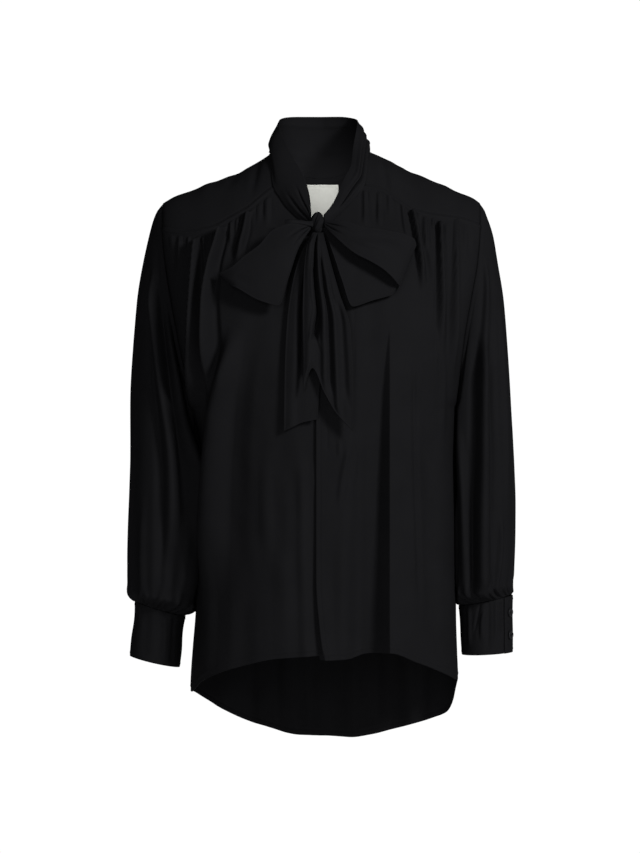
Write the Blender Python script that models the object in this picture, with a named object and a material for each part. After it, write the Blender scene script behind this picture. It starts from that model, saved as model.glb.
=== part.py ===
"""A tie-neck blouse, filled out as if worn, built from the pieces that a maker cuts and sews.

All sizes below are millimetres, and MM turns them into Blender's metres.
The origin is the middle of the neck where the blouse is carried, level with the neck ends of the shoulders.
+Z is up, the front faces -Y, and the wearer's left is +X.  A "drop" is a distance below the origin.
Every cloth piece is a grid of points worked out by one function, given its thickness by a Solidify modifier.
"""

import math

import bpy
import numpy as np

MM = 0.001
CLOTH = 1.2  # wall of single cloth
DOUBLE_CLOTH = 1.6  # wall of the doubled cuffs, neck band and bow
SEAM_GAP = 0.7  # between the middles of two rims that meet at a seam

# The body tube.  One row for each height: half widths on the wearer's right and left, reach to the front and back.
BODY_COLUMNS = ("drop", "right", "left", "front", "back")
BODY = (
    (-10, 209, 213, 42, 40),
    (20, 209, 213, 50, 60),
    (50, 209, 213, 60, 78),
    (75, 209, 213, 70, 88),
    (110, 208, 211, 86, 98),
    (150, 204, 207, 101, 105),
    (190, 198, 200, 112, 109),
    (250, 187, 190, 123, 109),
    (300, 176, 184, 127, 106),
    (335, 166, 181, 127, 104),
    (400, 162, 180, 125, 103),
    (500, 162, 181, 123, 104),
    (600, 165, 181, 124, 107),
    (660, 169, 182, 127, 110),
    (720, 172, 184, 128, 112),
    (810, 172, 184, 128, 112),
)
BODY_ROUNDNESS = 2.3  # exponent of the body's cross-section: 2 is an ellipse
SIDE_Y = 8  # the side seams, shoulder tips and armpits stand this far behind the origin

ARMHOLE_TOP = 68
ARMHOLE_BOTTOM = 338
ARMHOLE_HALF_DEPTH = 46
ARMHOLE_ROUNDNESS = 2.4

# The shoulder line from the neck to the tip: distance from the middle and drop.
SHOULDER_RIGHT = ((66, 2), (78, 11), (93, 20), (113, 29), (142, 40), (173, 52), (193, 59), (209, 68))
SHOULDER_LEFT = ((64, -1), (72, 3), (86, 9), (106, 19), (133, 31), (160, 43), (186, 54), (203, 61), (213, 68))
SHOULDER_NECK_Y = 4

# Top edges of the fronts: share of the half width, and drop.  The neckline comes first, then the yoke seam.
TOP_EDGE_RIGHT = ((0, 106), (0.1, 99), (0.21, 78), (0.285, 57), (0.36, 67), (0.45, 83), (0.56, 96), (0.67, 108),
                  (0.83, 114), (1, 108))
TOP_EDGE_LEFT = ((0, 106), (0.1, 92), (0.19, 72), (0.27, 54), (0.36, 57), (0.5, 76), (0.57, 85), (0.68, 91),
                 (0.88, 96), (1, 104))
YOKE_NECK_SHARE = {"right": 0.285, "left": 0.27}
BACK_SEAM = ((0, 122), (0.5, 120), (0.85, 116), (1, 118))
BACK_NECK = ((0, 30), (0.35, 27), (0.7, 16), (1, 0))  # share of the neck's half width, and drop

# Hems: share of the half width, and drop.
HEM_FRONT_RIGHT = ((0, 658), (0.35, 663), (0.53, 670), (0.74, 682), (0.9, 698), (1, 718))
HEM_FRONT_LEFT = ((0, 664), (0.2, 663), (0.33, 657), (0.49, 655), (0.7, 670), (0.89, 687), (1, 701))
HEM_BACK_RIGHT = ((0, 791), (0.24, 787), (0.45, 776), (0.64, 763), (0.82, 744), (0.93, 730), (1, 718))
HEM_BACK_LEFT = ((0, 791), (0.22, 792), (0.38, 788), (0.6, 777), (0.86, 759), (0.93, 751), (0.97, 736), (1, 701))

# The front opening: the wearer's left front laps over the right one.
OPENING_EDGE = ((95, -5), (560, -5), (620, -1), (670, 6))  # drop, and x of the left front's edge
UNDERLAP_WIDTH = 34
UNDERLAP_DEPTH = 2.6
UNDERLAP_EASE = 26

# Folds: where each starts (x, drop) and ends (x, drop), half width at both ends, and depth, negative inwards.
FOLD_COLUMNS = ("x0", "drop0", "x1", "drop1", "half0", "half1", "depth", "rise", "fall")
FRONT_RIGHT_FOLDS = (
    (-68, 60, -67, 130, 6, 7, -4.5, 16, 45),
    (-82, 72, -88, 150, 7, 9, -6, 16, 50),
    (-99, 84, -99, 150, 6, 7, -4, 14, 45),
    (-116, 95, -118, 150, 6, 7, -4, 14, 40),
    (-134, 104, -146, 330, 7, 11, -9, 22, 120),
    (-152, 110, -152, 180, 6, 7, -4, 14, 45),
    (-166, 112, -170, 320, 6, 10, -8, 22, 110),
    (-186, 112, -186, 200, 6, 7, -4, 16, 60),
    (-98, 230, -136, 620, 16, 24, -7, 120, 160),
    (-60, 330, -52, 600, 18, 22, -3, 90, 110),
    (-20, 380, -14, 690, 10, 14, -5, 120, 1),
)
FRONT_LEFT_FOLDS = (
    (58, 52, 56, 120, 6, 7, -5, 14, 30),
    (77, 56, 80, 122, 6, 7, -5.5, 14, 30),
    (104, 76, 112, 140, 7, 8, -4, 14, 40),
    (120, 84, 132, 175, 6, 8, -6, 14, 50),
    (138, 90, 141, 150, 6, 6, -4.5, 14, 40),
    (156, 92, 162, 310, 6, 8, -6, 16, 100),
    (174, 94, 172, 320, 6, 9, -6.5, 16, 90),
    (190, 96, 191, 190, 6, 7, -4, 16, 60),
    (90, 240, 76, 690, 9, 20, -17, 200, 1),
    (98, 300, 104, 690, 10, 13, 5, 120, 1),
    (128, 240, 138, 620, 14, 16, 4, 120, 200),
    (40, 345, 28, 440, 8, 8, -2.5, 30, 50),
)
BACK_FOLDS = (
    (-178, 116, -172, 300, 7, 11, -5, 16, 110),
    (-152, 116, -150, 260, 7, 10, -5, 16, 90),
    (-128, 118, -130, 330, 7, 12, -6, 16, 140),
    (-104, 119, -104, 230, 7, 9, -4.5, 16, 80),
    (-80, 120, -84, 420, 7, 14, -7, 18, 200),
    (-56, 121, -55, 240, 7, 9, -5, 16, 80),
    (-32, 122, -30, 300, 7, 10, -6, 16, 120),
    (-8, 122, -6, 230, 7, 9, -4.5, 16, 70),
    (16, 122, 16, 270, 7, 10, -5, 16, 90),
    (40, 121, 42, 380, 7, 13, -7, 18, 170),
    (64, 121, 66, 240, 7, 9, -5, 16, 80),
    (88, 120, 92, 310, 7, 11, -6, 16, 120),
    (112, 118, 114, 240, 7, 9, -4.5, 16, 80),
    (136, 117, 140, 330, 7, 12, -6, 16, 130),
    (160, 116, 162, 250, 7, 10, -5, 16, 90),
    (184, 116, 180, 280, 7, 10, -5, 16, 100),
    (-66, 380, -62, 830, 18, 26, -9, 160, 1),
    (4, 430, 8, 830, 20, 28, -6, 150, 1),
    (84, 360, 96, 830, 18, 26, -9, 160, 1),
    (-128, 420, -132, 830, 14, 20, -5, 120, 1),
)

# Sleeves: outer line on each side, half depth and middle depth.  The inner line is SLEEVE_INNER from the middle.
SLEEVE_COLUMNS = ("drop", "right", "left", "half_depth", "middle_y")
SLEEVES = (
    (68, 209, 213, 30, 8),
    (85, 219, 221, 38, 8),
    (110, 227, 230, 43, 9),
    (150, 236, 237, 47, 10),
    (200, 244, 245, 50, 11),
    (260, 249, 250, 53, 13),
    (335, 253, 255, 57, 17),
    (420, 254, 259, 60, 20),
    (500, 257, 259, 62, 22),
    (560, 258, 258, 60, 22),
    (585, 258, 255, 56, 22),
    (620, 254, 252, 48, 22),
)
SLEEVE_INNER = 150
SLEEVE_SEAM = (0.9, 2.7)  # sideways gap at the shoulder tip and at the armpit
SLEEVE_CLEARANCE = 4.5  # kept between sleeve and body where the arm hangs against the side
ARMHOLE_EASE = 110  # length over which the armhole's shape turns into the sleeve's tube
CUFF_EASE = 17  # length over which the sleeve is drawn in to the cuff

# Sleeve folds: angle round the sleeve from the outer line towards the front, in degrees, at both ends.
SLEEVE_FOLD_COLUMNS = ("angle0", "drop0", "angle1", "drop1", "half0", "half1", "depth", "rise", "fall")
SLEEVE_RIGHT_FOLDS = (
    (46, 130, 92, 420, 9, 15, -6, 60, 150),
    (78, 170, 128, 470, 9, 12, -6, 60, 150),
    (20, 300, 26, 606, 12, 10, -3.5, 120, 10),
    (300, 130, 262, 460, 10, 15, -6, 60, 160),
    (252, 210, 228, 480, 10, 12, -5, 60, 150),
)
SLEEVE_LEFT_FOLDS = (
    (52, 140, 84, 330, 8, 10, -4, 50, 90),
    (66, 250, 62, 560, 7, 9, -8, 80, 60),
    (30, 190, 34, 520, 7, 9, -4, 80, 160),
    (112, 360, 96, 600, 9, 9, -6, 60, 30),
    (300, 130, 262, 460, 10, 15, -6, 60, 160),
    (252, 210, 228, 480, 10, 12, -5, 60, 150),
)
CUFF_GATHERS = 13
CUFF_GATHER_DEPTH = 3.0
CUFF_GATHER_LENGTH = 34

# Cuffs: middle x, drop, half width, half depth and slope of the top and bottom rims.
CUFF_COLUMNS = ("x", "drop", "half_width", "half_depth", "slope")
CUFF_RIGHT = ((214, 608, 34, 32, 0.30), (221, 679, 33, 31, 0.23))
CUFF_LEFT = ((221, 597, 35, 33, 0.21), (223, 668, 32.5, 31, 0.06))
CUFF_Y = 22
CUFF_OVERLAP = 26  # degrees of doubled band at the closure
CUFF_CLOSURE = {"right": 262, "left": 24}  # degrees round from the outer line: one turned to the back, one to the front
CUFF_LAP = 2.4
BUTTON_RADIUS = 5.5
BUTTON_THICKNESS = 2.2
BUTTON_SHARES = (0.28, 0.68)  # heights of the two buttons as shares of the cuff

# Neck band: turn round the neck in degrees from the middle of the front by the wearer's right, the upper edge
# there, and how far the middle of the band rounds out.  Its lower edge follows the neckline.
BAND_COLUMNS = ("turn", "x", "y", "z", "bulge")
BAND = (
    (9, -11.6, -95, -92, 1),
    (17, -13, -83, -70, 4),
    (30, -19, -68, -45, 6),
    (46, -32, -49, -18, 6),
    (63, -45, -28, 8, 5),
    (80, -54, -6, 30, 5),
    (103, -54, 16, 43, 4),
    (128, -45, 40, 51, 3),
    (155, -26, 55, 54, 2),
    (180, 0, 59, 54.5, 2),
    (205, 26, 55, 54, 2),
    (231, 43, 40, 50, 3),
    (257, 50, 16, 43, 4),
    (280, 48, -6, 29, 5),
    (298, 44, -26, 5, 5),
    (313, 41, -44, -21, 4),
    (326, 31, -60, -42, 4),
    (340, 18, -76, -73, 3),
    (352, 5, -95, -92, 1),
)
BAND_END_RIGHT = (-12.9, -93, -106)  # the lower edge leaves the neckline for these points at the knot
BAND_END_LEFT = (6.2, -93, -106)
BAND_END_TURN = 12  # degrees over which it does so
BAND_LAP = 2.0  # the band's lower edge lies this far past the neckline, in front of the fronts and the yoke
BAND_CREASES = ((0.66, 0.84, 0.42, 0.16, -3.5), (0.12, 0.30, 0.62, 0.20, -1.5))  # from, to, place, half width, depth

# Bow and tails: two edges in the front view and how far each stands off the front of the blouse.
LOOP_COLUMNS = ("top_x", "top_z", "top_lift", "low_x", "low_z", "low_lift")
LOOP_RIGHT = (
    (-11.6, -103, 18, -12, -109, 16),
    (-36, -104, 26, -27, -136, 24),
    (-60, -112, 27, -40, -175, 23),
    (-78, -132, 27, -53, -211, 20),
    (-98, -147, 26, -78, -204, 22),
    (-114, -161, 24, -104, -189, 24),
    (-130, -168, 17, -114, -184, 19),
    (-117, -164, 11, -104, -186, 12),
    (-98, -151, 10, -78, -199, 10),
    (-78, -137, 10, -56, -203, 9),
    (-60, -120, 11, -44, -172, 10),
    (-36, -111, 12, -30, -138, 11),
    (-11.8, -106, 12, -12, -111, 11),
)
LOOP_LEFT = (
    (4.9, -99, 18, 5.5, -106, 16),
    (32, -101, 27, 22, -124, 25),
    (56, -108, 28, 45, -144, 28),
    (80, -112, 28, 64, -154, 30),
    (108, -117, 26, 83, -166, 29),
    (122, -124, 20, 97, -180, 24),
    (124, -131, 15, 101, -186, 17),
    (112, -132, 11, 95, -195, 12),
    (84, -128, 10, 67, -204, 11),
    (60, -124, 10, 42, -212, 11),
    (40, -118, 11, 28, -178, 12),
    (22, -112, 12, 17, -144, 12),
    (5.9, -104, 12, 5.6, -111, 11),
)
TAIL_COLUMNS = ("share", "right_x", "left_x", "lift")
TAIL_RIGHT = ((0, -10, -2, 7), (0.1, -24, 1, 10), (0.25, -35, 2, 9), (0.45, -42, 3, 8), (0.7, -45, 1, 8),
              (1, -46, -3, 8))
TAIL_RIGHT_ENDS = ((0, 371), (0.3, 365), (0.55, 360), (1, 356))
TAIL_RIGHT_PLEATS = ((0.12, 0.12, 4), (0.30, 0.12, -4), (0.75, 0.3, 1))
TAIL_LEFT = ((0, -9, 4, 13), (0.1, -17, 10, 22), (0.3, -21, 24, 20), (0.5, -22, 39, 19), (0.8, -21, 42, 18),
             (1, -21, 42, 18))
TAIL_LEFT_ENDS = ((0, 322), (0.12, 296), (0.18, 291), (0.42, 322), (0.65, 347), (1, 371))
TAIL_LEFT_PLEATS = ((0.10, 0.14, 4), (0.27, 0.10, -7), (0.46, 0.14, 4), (0.70, 0.16, -4), (0.93, 0.12, 2))
TAIL_TOPS = {"right": 116.8, "left": 115.4}

KNOT_MIDDLE = (-3, -96, -102)
KNOT_HALF = (8.5, 8.5, 14)
KNOT_TWISTS = 3
KNOT_TWIST_DEPTH = 0.10

LABEL_HALF_WIDTH = 29
LABEL_MIDDLE_X = -4
LABEL_TOP = 37
LABEL_BOTTOM = 79
LABEL_WALL = 0.6
LABEL_GAP = 0.8

BLACK_CREPE = ("black_crepe", (0.012, 0.012, 0.014), 0.55)
LABEL_SATIN = ("label_satin", (0.62, 0.63, 0.58), 0.45)
BUTTON_BLACK = ("button_black", (0.010, 0.010, 0.012), 0.25)


def curve(knots, values, at):
    """Cubic curve through the points (knots, values) that doesn't overshoot them, held level past the ends."""
    knots = np.asarray(knots, float)
    values = np.asarray(values, float)
    at = np.clip(np.asarray(at, float), knots[0], knots[-1])
    steps = np.diff(knots)
    slopes = np.diff(values) / steps
    tangents = np.zeros(len(knots))
    rising = slopes[:-1] * slopes[1:] > 0
    means = 2 * slopes[:-1] * slopes[1:] / np.where(rising, slopes[:-1] + slopes[1:], 1)
    tangents[1:-1] = np.where(rising, means, 0)
    tangents[0] = slopes[0]
    tangents[-1] = slopes[-1]
    i = np.clip(np.searchsorted(knots, at, side="right") - 1, 0, len(steps) - 1)
    t = (at - knots[i]) / steps[i]
    h = steps[i]
    return (
        values[i] * (1 + 2 * t) * (1 - t) ** 2
        + tangents[i] * h * t * (1 - t) ** 2
        + values[i + 1] * t * t * (3 - 2 * t)
        + tangents[i + 1] * h * t * t * (t - 1)
    )


def column(columns, rows, name):
    return [row[columns.index(name)] for row in rows]


def table(columns, rows, name, at, key="drop"):
    """The named column of a table at the height (or other key) asked for."""
    return curve(column(columns, rows, key), column(columns, rows, name), at)


def pairs(rows, at):
    return curve([row[0] for row in rows], [row[1] for row in rows], at)


def ease(t):
    """0 below 0, 1 above 1, and smooth between."""
    t = np.clip(t, 0, 1)
    return t * t * (3 - 2 * t)


def bump(s):
    """1 in the middle, 0 at 1 and beyond."""
    return np.where(np.abs(s) < 1, 0.5 + 0.5 * np.cos(np.pi * np.clip(s, -1, 1)), 0)


def superellipse(s, power):
    """Height of a superellipse's quarter at the share s of its width."""
    return (1 - np.clip(np.abs(s), 0, 1) ** power) ** (1 / power)


def half_width(share, drop):
    """Half width of the body on the side that the share's sign names."""
    right = table(BODY_COLUMNS, BODY, "right", drop)
    left = table(BODY_COLUMNS, BODY, "left", drop)
    return np.where(share < 0, right, left)


def armhole_half_depth(drop):
    middle = (ARMHOLE_TOP + ARMHOLE_BOTTOM) / 2
    half = (ARMHOLE_BOTTOM - ARMHOLE_TOP) / 2
    return ARMHOLE_HALF_DEPTH * superellipse((drop - middle) / half, ARMHOLE_ROUNDNESS)


def front_y(share, drop):
    """Depth of the front surface: a quarter superellipse from the middle of the front to the armhole or side seam."""
    end = SIDE_Y - armhole_half_depth(drop) - SEAM_GAP / 2
    middle = -table(BODY_COLUMNS, BODY, "front", drop)
    return end + (middle - end) * superellipse(share, BODY_ROUNDNESS)


def back_y(share, drop):
    """Depth of the back surface, as front_y."""
    end = SIDE_Y + armhole_half_depth(drop) + SEAM_GAP / 2
    middle = table(BODY_COLUMNS, BODY, "back", drop)
    return end + (middle - end) * superellipse(share, BODY_ROUNDNESS)


def body_points(share, drop, depth):
    return np.stack([share * half_width(share, drop), depth(share, drop), -drop], axis=-1)


def folds(columns, rows, across, drop):
    """Sum of the folds: each is a soft trough or ridge along a slanting line, which rises in and fades out."""
    total = np.zeros_like(drop)
    for row in rows:
        fold = dict(zip(columns, row))
        start, end = (fold[columns[0]], fold["drop0"]), (fold[columns[2]], fold["drop1"])
        along = (drop - start[1]) / (end[1] - start[1])
        line = start[0] + (end[0] - start[0]) * along
        half = fold["half0"] + (fold["half1"] - fold["half0"]) * np.clip(along, 0, 1)
        fade = ease((drop - start[1]) / fold["rise"]) * ease((end[1] - drop) / fold["fall"])
        total += fold["depth"] * bump((across - line) / half) * fade
    return total


def normals(points, closed=False):
    """Unit normals of a grid of points, from the directions along its rows and columns."""
    if closed:
        along = np.roll(points, -1, axis=1) - np.roll(points, 1, axis=1)
    else:
        along = np.gradient(points, axis=1)
    down = np.gradient(points, axis=0)
    n = np.cross(along, down)
    return n / np.maximum(np.linalg.norm(n, axis=-1, keepdims=True), 1e-9)


def moved_out(points, distance, closed=False):
    """The grid moved along its normals by a distance for each point."""
    distance = np.broadcast_to(distance, points.shape[:2])
    return points + normals(points, closed) * distance[..., None]


def material(finish):
    name, colour, roughness = finish
    made = bpy.data.materials.get(name) or bpy.data.materials.new(name)
    made.use_nodes = True
    shader = made.node_tree.nodes["Principled BSDF"]
    shader.inputs["Base Color"].default_value = (*colour, 1)
    shader.inputs["Roughness"].default_value = roughness
    shader.inputs["Metallic"].default_value = 0
    return made


def mesh_object(name, points, faces, finish):
    mesh = bpy.data.meshes.new(name)
    mesh.from_pydata((np.asarray(points) * MM).tolist(), [], faces)
    mesh.materials.append(material(finish))
    mesh.shade_smooth()
    made = bpy.data.objects.new(name, mesh)
    bpy.context.scene.collection.objects.link(made)
    return made


def cloth(name, grid, wall, finish=BLACK_CREPE, closed=False, keep=None):
    """A wall of even thickness on a grid of points (rows, columns).  keep leaves out part of the quads."""
    rows, columns = grid.shape[:2]
    faces = []
    for r in range(rows - 1):
        for c in range(columns if closed else columns - 1):
            if keep is None or keep(r, c):
                after = (c + 1) % columns
                corner = r * columns
                faces.append((corner + c, corner + after, corner + columns + after, corner + columns + c))
    used = sorted({i for face in faces for i in face})
    place = {old: new for new, old in enumerate(used)}
    faces = [tuple(place[i] for i in face) for face in faces]
    made = mesh_object(name, grid.reshape(-1, 3)[used], faces, finish)
    solidify = made.modifiers.new("wall", "SOLIDIFY")
    solidify.thickness = wall * MM
    solidify.offset = 0
    return made


def fold_columns(rows, near_drop, low, high, spread):
    """Shares across a panel, close together at the folds that start near its top and wider apart elsewhere."""
    plain = np.sin(np.linspace(math.asin(low), math.asin(high), spread))
    at_folds = []
    for row in rows:
        fold = dict(zip(FOLD_COLUMNS, row))
        if fold["drop0"] < near_drop:
            for step in (-1, 0, 1):
                x = fold["x0"] + step * 0.95 * fold["half0"]
                at_folds.append(x / float(half_width(x, fold["drop0"] + 25)))
    at_folds = [share for share in at_folds if low < share < high]
    shares = sorted([low, high] + at_folds)
    closest = 0.016
    for share in plain:
        if min(abs(share - other) for other in shares) > 2 * closest:
            shares.append(share)
    shares = sorted(shares)
    thinned = [shares[0]]
    for share in shares[1:-1]:
        if share - thinned[-1] > closest and high - share > closest:
            thinned.append(share)
    return np.array(thinned + [high])


PANEL_ROWS = np.array([0, 0.02, 0.055, 0.11, 0.18, 0.27, 0.38, 0.5, 0.62, 0.75, 0.88, 1.0])


def panel(shares, top, hem, depth, fold_rows, outward, rows=PANEL_ROWS):
    """A front or back: shares across, from its top edge to its hem, with its folds moved in along the normals."""
    share, part = np.meshgrid(shares, rows)
    drop = top(share) + SEAM_GAP / 2 + part * (hem(share) - top(share) - SEAM_GAP / 2)
    points = body_points(share, drop, depth)
    amount = folds(FOLD_COLUMNS, fold_rows, points[..., 0], drop)
    return points + outward * normals(points) * amount[..., None], share, drop


YOKE_NECK_PARTS = (0.97, 0.88, 0.74, 0.55, 0.3)  # its columns across the neck, as shares of the neck's half width
YOKE_SEAM_PARTS = (0, 0.09, 0.18, 0.28, 0.39, 0.5, 0.62, 0.74, 0.87, 1)  # the yoke's columns from neck to tip


def yoke_seam_shares(side):
    neck = YOKE_NECK_SHARE[side]
    return neck + (1 - neck) * np.array(YOKE_SEAM_PARTS)


def front_top(share):
    """Drop of the fronts' top edge.  Along the yoke seam it is straight between the yoke's columns, as the yoke is."""
    drop = np.where(share < 0, pairs(TOP_EDGE_RIGHT, -share), pairs(TOP_EDGE_LEFT, share))
    for side, sign, edge in (("right", -1, TOP_EDGE_RIGHT), ("left", 1, TOP_EDGE_LEFT)):
        at = yoke_seam_shares(side)
        straight = np.interp(sign * share, at, pairs(edge, at))
        drop = np.where(sign * share > at[0], straight, drop)
    return drop


def front_hem(share):
    return np.where(share < 0, pairs(HEM_FRONT_RIGHT, -share), pairs(HEM_FRONT_LEFT, share))


def back_hem(share):
    return np.where(share < 0, pairs(HEM_BACK_RIGHT, -share), pairs(HEM_BACK_LEFT, share))


def back_top(share):
    return pairs(BACK_SEAM, np.abs(share))


def front_right():
    high = UNDERLAP_WIDTH / float(half_width(1, 300))
    shares = fold_columns(FRONT_RIGHT_FOLDS, 200, -1, high, 26)
    points, share, drop = panel(shares, front_top, front_hem, front_y, FRONT_RIGHT_FOLDS, 1)
    x = points[..., 0]
    under = ease((x - pairs(OPENING_EDGE, drop) + UNDERLAP_EASE) / UNDERLAP_EASE)
    points[..., 1] += UNDERLAP_DEPTH * under
    return cloth("front_right", points, CLOTH)


def front_left():
    shares = fold_columns(FRONT_LEFT_FOLDS, 200, -0.01, 1, 26)
    points, share, drop = panel(shares, front_top, front_hem, front_y, FRONT_LEFT_FOLDS, 1)
    edge = pairs(OPENING_EDGE, drop)
    near = ease(1 - (points[..., 0] - points[:, :1, 0]) / 40)
    points[..., 0] += near * (edge - points[:, :1, 0])
    lift = ease((drop - 520) / 140) * ease(1 - (points[..., 0] - edge) / 30)
    points[..., 1] -= 4 * lift
    return cloth("front_left", points, CLOTH)


def back():
    shares = fold_columns(BACK_FOLDS, 200, -1, 1, 34)
    points, share, drop = panel(shares, back_top, back_hem, back_y, BACK_FOLDS, -1)
    return cloth("back", points, CLOTH)


def shoulder(side, x):
    return pairs(SHOULDER_RIGHT if side == "right" else SHOULDER_LEFT, x)


def arch(start, middle, end, t):
    """Quadratic curve from start to end, drawn towards the middle point."""
    t = t[:, None, None] if np.ndim(t) else t
    return (1 - t) ** 2 * start + 2 * t * (1 - t) * middle + t * t * end


YOKE_FRONT_PARTS = np.array([1, 0.72, 0.45, 0.2])
YOKE_BACK_PARTS = np.array([0, 0.22, 0.45, 0.7, 1])


def yoke_strip(side, top, along):
    """Front seam of the yoke's strip under the shoulder points, and the points its arch is drawn towards."""
    sign = -1 if side == "right" else 1
    neck_share = YOKE_NECK_SHARE[side]
    across = sign * (neck_share + (1 - neck_share) * along)
    front_drop = front_top(across) - SEAM_GAP / 2
    front = body_points(across, front_drop, front_y)
    slope = (front_y(across, front_drop + 5) - front_y(across, front_drop - 5)) / 10
    middle_y = np.minimum(front[:, 1] - slope * (front_drop + top[:, 2]), top[:, 1] - 8)
    middle = np.stack([(top[:, 0] + front[:, 0]) / 2, middle_y, top[:, 2]], axis=-1)
    return middle, front


def back_yoke_curves(x_shares):
    """Top and seam points of the yoke's back part at shares of the half width, and the middle points between."""
    right_neck, left_neck = SHOULDER_RIGHT[0][0], SHOULDER_LEFT[0][0]
    side_width = half_width(x_shares, 68.0) - SEAM_GAP / 2
    x = x_shares * side_width
    neck = np.where(x_shares < 0, right_neck, left_neck)
    inside = np.abs(x) <= neck
    neck_drop = pairs(BACK_NECK, np.abs(x) / neck)
    neck_y = SHOULDER_NECK_Y + (63 - SHOULDER_NECK_Y) * superellipse(x / neck, 2.2)
    line_drop = np.where(x_shares < 0, shoulder("right", np.abs(x)), shoulder("left", np.abs(x)))
    line_share = (np.abs(x) - neck) / (side_width - neck)
    line_y = SHOULDER_NECK_Y + (SIDE_Y - SHOULDER_NECK_Y) * line_share
    top_drop = np.where(inside, neck_drop, line_drop)
    top_y = np.where(inside, neck_y, line_y)
    top = np.stack([x, top_y, -top_drop], axis=-1)
    seam_drop = back_top(x_shares) - SEAM_GAP / 2
    seam = body_points(x_shares, seam_drop, back_y)
    slope = (back_y(x_shares, seam_drop + 5) - back_y(x_shares, seam_drop - 5)) / 10
    fall = 0.35 * bump(x / (1.35 * neck))
    middle_y = seam[:, 1] - slope * (seam_drop - top_drop) * (1 - fall)
    middle_y = np.maximum(middle_y, top_y + 6)
    middle_z = -(top_drop + fall * (seam_drop - top_drop))
    middle = np.stack([(x + seam[:, 0]) / 2, middle_y, middle_z], axis=-1)
    return top, middle, seam


def yoke_shares():
    """Shares across the yoke's back part, from the right armhole to the left, and the two columns at the neck."""
    sides = {}
    for side, sign, line in (("right", -1.0, SHOULDER_RIGHT), ("left", 1.0, SHOULDER_LEFT)):
        neck, tip = line[0][0], float(half_width(sign, 68.0)) - SEAM_GAP / 2
        outer = neck + (tip - neck) * np.array(YOKE_SEAM_PARTS)
        inner = neck * np.array(YOKE_NECK_PARTS[::-1])
        sides[side] = sign * np.concatenate([inner, outer]) / tip
    shares = np.concatenate([sides["right"][::-1], [0], sides["left"]])
    return shares, len(YOKE_SEAM_PARTS) - 1, len(shares) - len(YOKE_SEAM_PARTS)


def yoke():
    """One piece: front strips over both shoulders and the back part, as a grid with the neck left out of its front."""
    shares, neck_from, neck_to = yoke_shares()
    top, middle, seam = back_yoke_curves(shares)
    back_part = arch(top, middle, seam, YOKE_BACK_PARTS)
    front_part = np.zeros((len(YOKE_FRONT_PARTS), len(shares), 3))
    parts = np.array(YOKE_SEAM_PARTS)
    for side, index, along in (
        ("right", slice(0, neck_from + 1), parts[::-1]),
        ("left", slice(neck_to, len(shares)), parts),
    ):
        front_middle, front = yoke_strip(side, top[index], along)
        front_part[:, index] = arch(top[index], front_middle, front, YOKE_FRONT_PARTS)
    grid = np.concatenate([front_part, back_part])
    neck_row = len(YOKE_FRONT_PARTS)
    return cloth("yoke", grid, CLOTH, keep=lambda r, c: r >= neck_row or not neck_from <= c < neck_to)


def inner_label():
    """A plain label on the inside of the yoke's back part, made from the yoke's own points moved in."""
    shares, neck_from, neck_to = yoke_shares()
    lines = arch(*back_yoke_curves(shares), YOKE_BACK_PARTS)
    low, high = LABEL_MIDDLE_X - LABEL_HALF_WIDTH, LABEL_MIDDLE_X + LABEL_HALF_WIDTH
    edges = lines[0, :, 0]
    columns = np.concatenate([[low], edges[(edges > low + 3) & (edges < high - 3)], [high]])
    grid = []
    for drop in np.linspace(LABEL_TOP, LABEL_BOTTOM, 7):
        across = [[np.interp(drop, -lines[:, c, 2], lines[:, c, k]) for k in range(3)] for c in range(len(shares))]
        across = np.array(across)
        grid.append([[np.interp(x, across[:, 0], across[:, k]) for k in range(3)] for x in columns])
    grid = moved_out(np.array(grid), -(CLOTH + LABEL_WALL) / 2 - LABEL_GAP)
    return cloth("neck_label", grid, LABEL_WALL, LABEL_SATIN)


def armhole(side, angle):
    """Point of the armhole's loop.  Angle 0 is the shoulder tip, 90 degrees the front, 180 the armpit."""
    middle = (ARMHOLE_TOP + ARMHOLE_BOTTOM) / 2
    half = (ARMHOLE_BOTTOM - ARMHOLE_TOP) / 2
    power = 2 / ARMHOLE_ROUNDNESS
    cos, sin = np.cos(angle), np.sin(angle)
    drop = middle - half * np.sign(cos) * np.abs(cos) ** power
    y = SIDE_Y - ARMHOLE_HALF_DEPTH * np.sign(sin) * np.abs(sin) ** power
    x = half_width(-1.0 if side == "right" else 1.0, drop)
    return x, y, drop


def body_side(sign, y, drop, clearance):
    """How far out the body's side lies at a depth y, for a body that is larger all round by the clearance."""
    end = armhole_half_depth(drop)
    front_reach = SIDE_Y - end + table(BODY_COLUMNS, BODY, "front", drop) + clearance
    back_reach = table(BODY_COLUMNS, BODY, "back", drop) - SIDE_Y - end + clearance
    past = np.maximum((SIDE_Y - end - y) / front_reach, (y - SIDE_Y - end) / back_reach)
    return (half_width(float(sign), drop) + clearance) * superellipse(np.clip(past, 0, 1), BODY_ROUNDNESS)


def larger(a, b, softness):
    """The larger of two lengths, rounded off where they are within the softness of each other."""
    near = (a + b) / 2 + (a - b) ** 2 / (4 * softness) + softness / 4
    return np.where(np.abs(a - b) < softness, near, np.maximum(a, b))


def cuff_ring(side, angle, part):
    """Point of a cuff at the angle round it and the share of its height: an ellipse on a sloping plane."""
    rims = CUFF_RIGHT if side == "right" else CUFF_LEFT
    x, drop, half_w, half_d, slope = [
        rims[0][i] + (rims[1][i] - rims[0][i]) * part for i in range(len(CUFF_COLUMNS))
    ]
    out = half_w * np.cos(angle)
    return x + out, CUFF_Y - half_d * np.sin(angle), drop - slope * out


SLEEVE_ROWS = np.array([0, 0.03, 0.08, 0.15, 0.25, 0.37, 0.5, 0.64, 0.78, 0.88, 0.945, 0.975, 1.0])
SLEEVE_SIDES = 32


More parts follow.
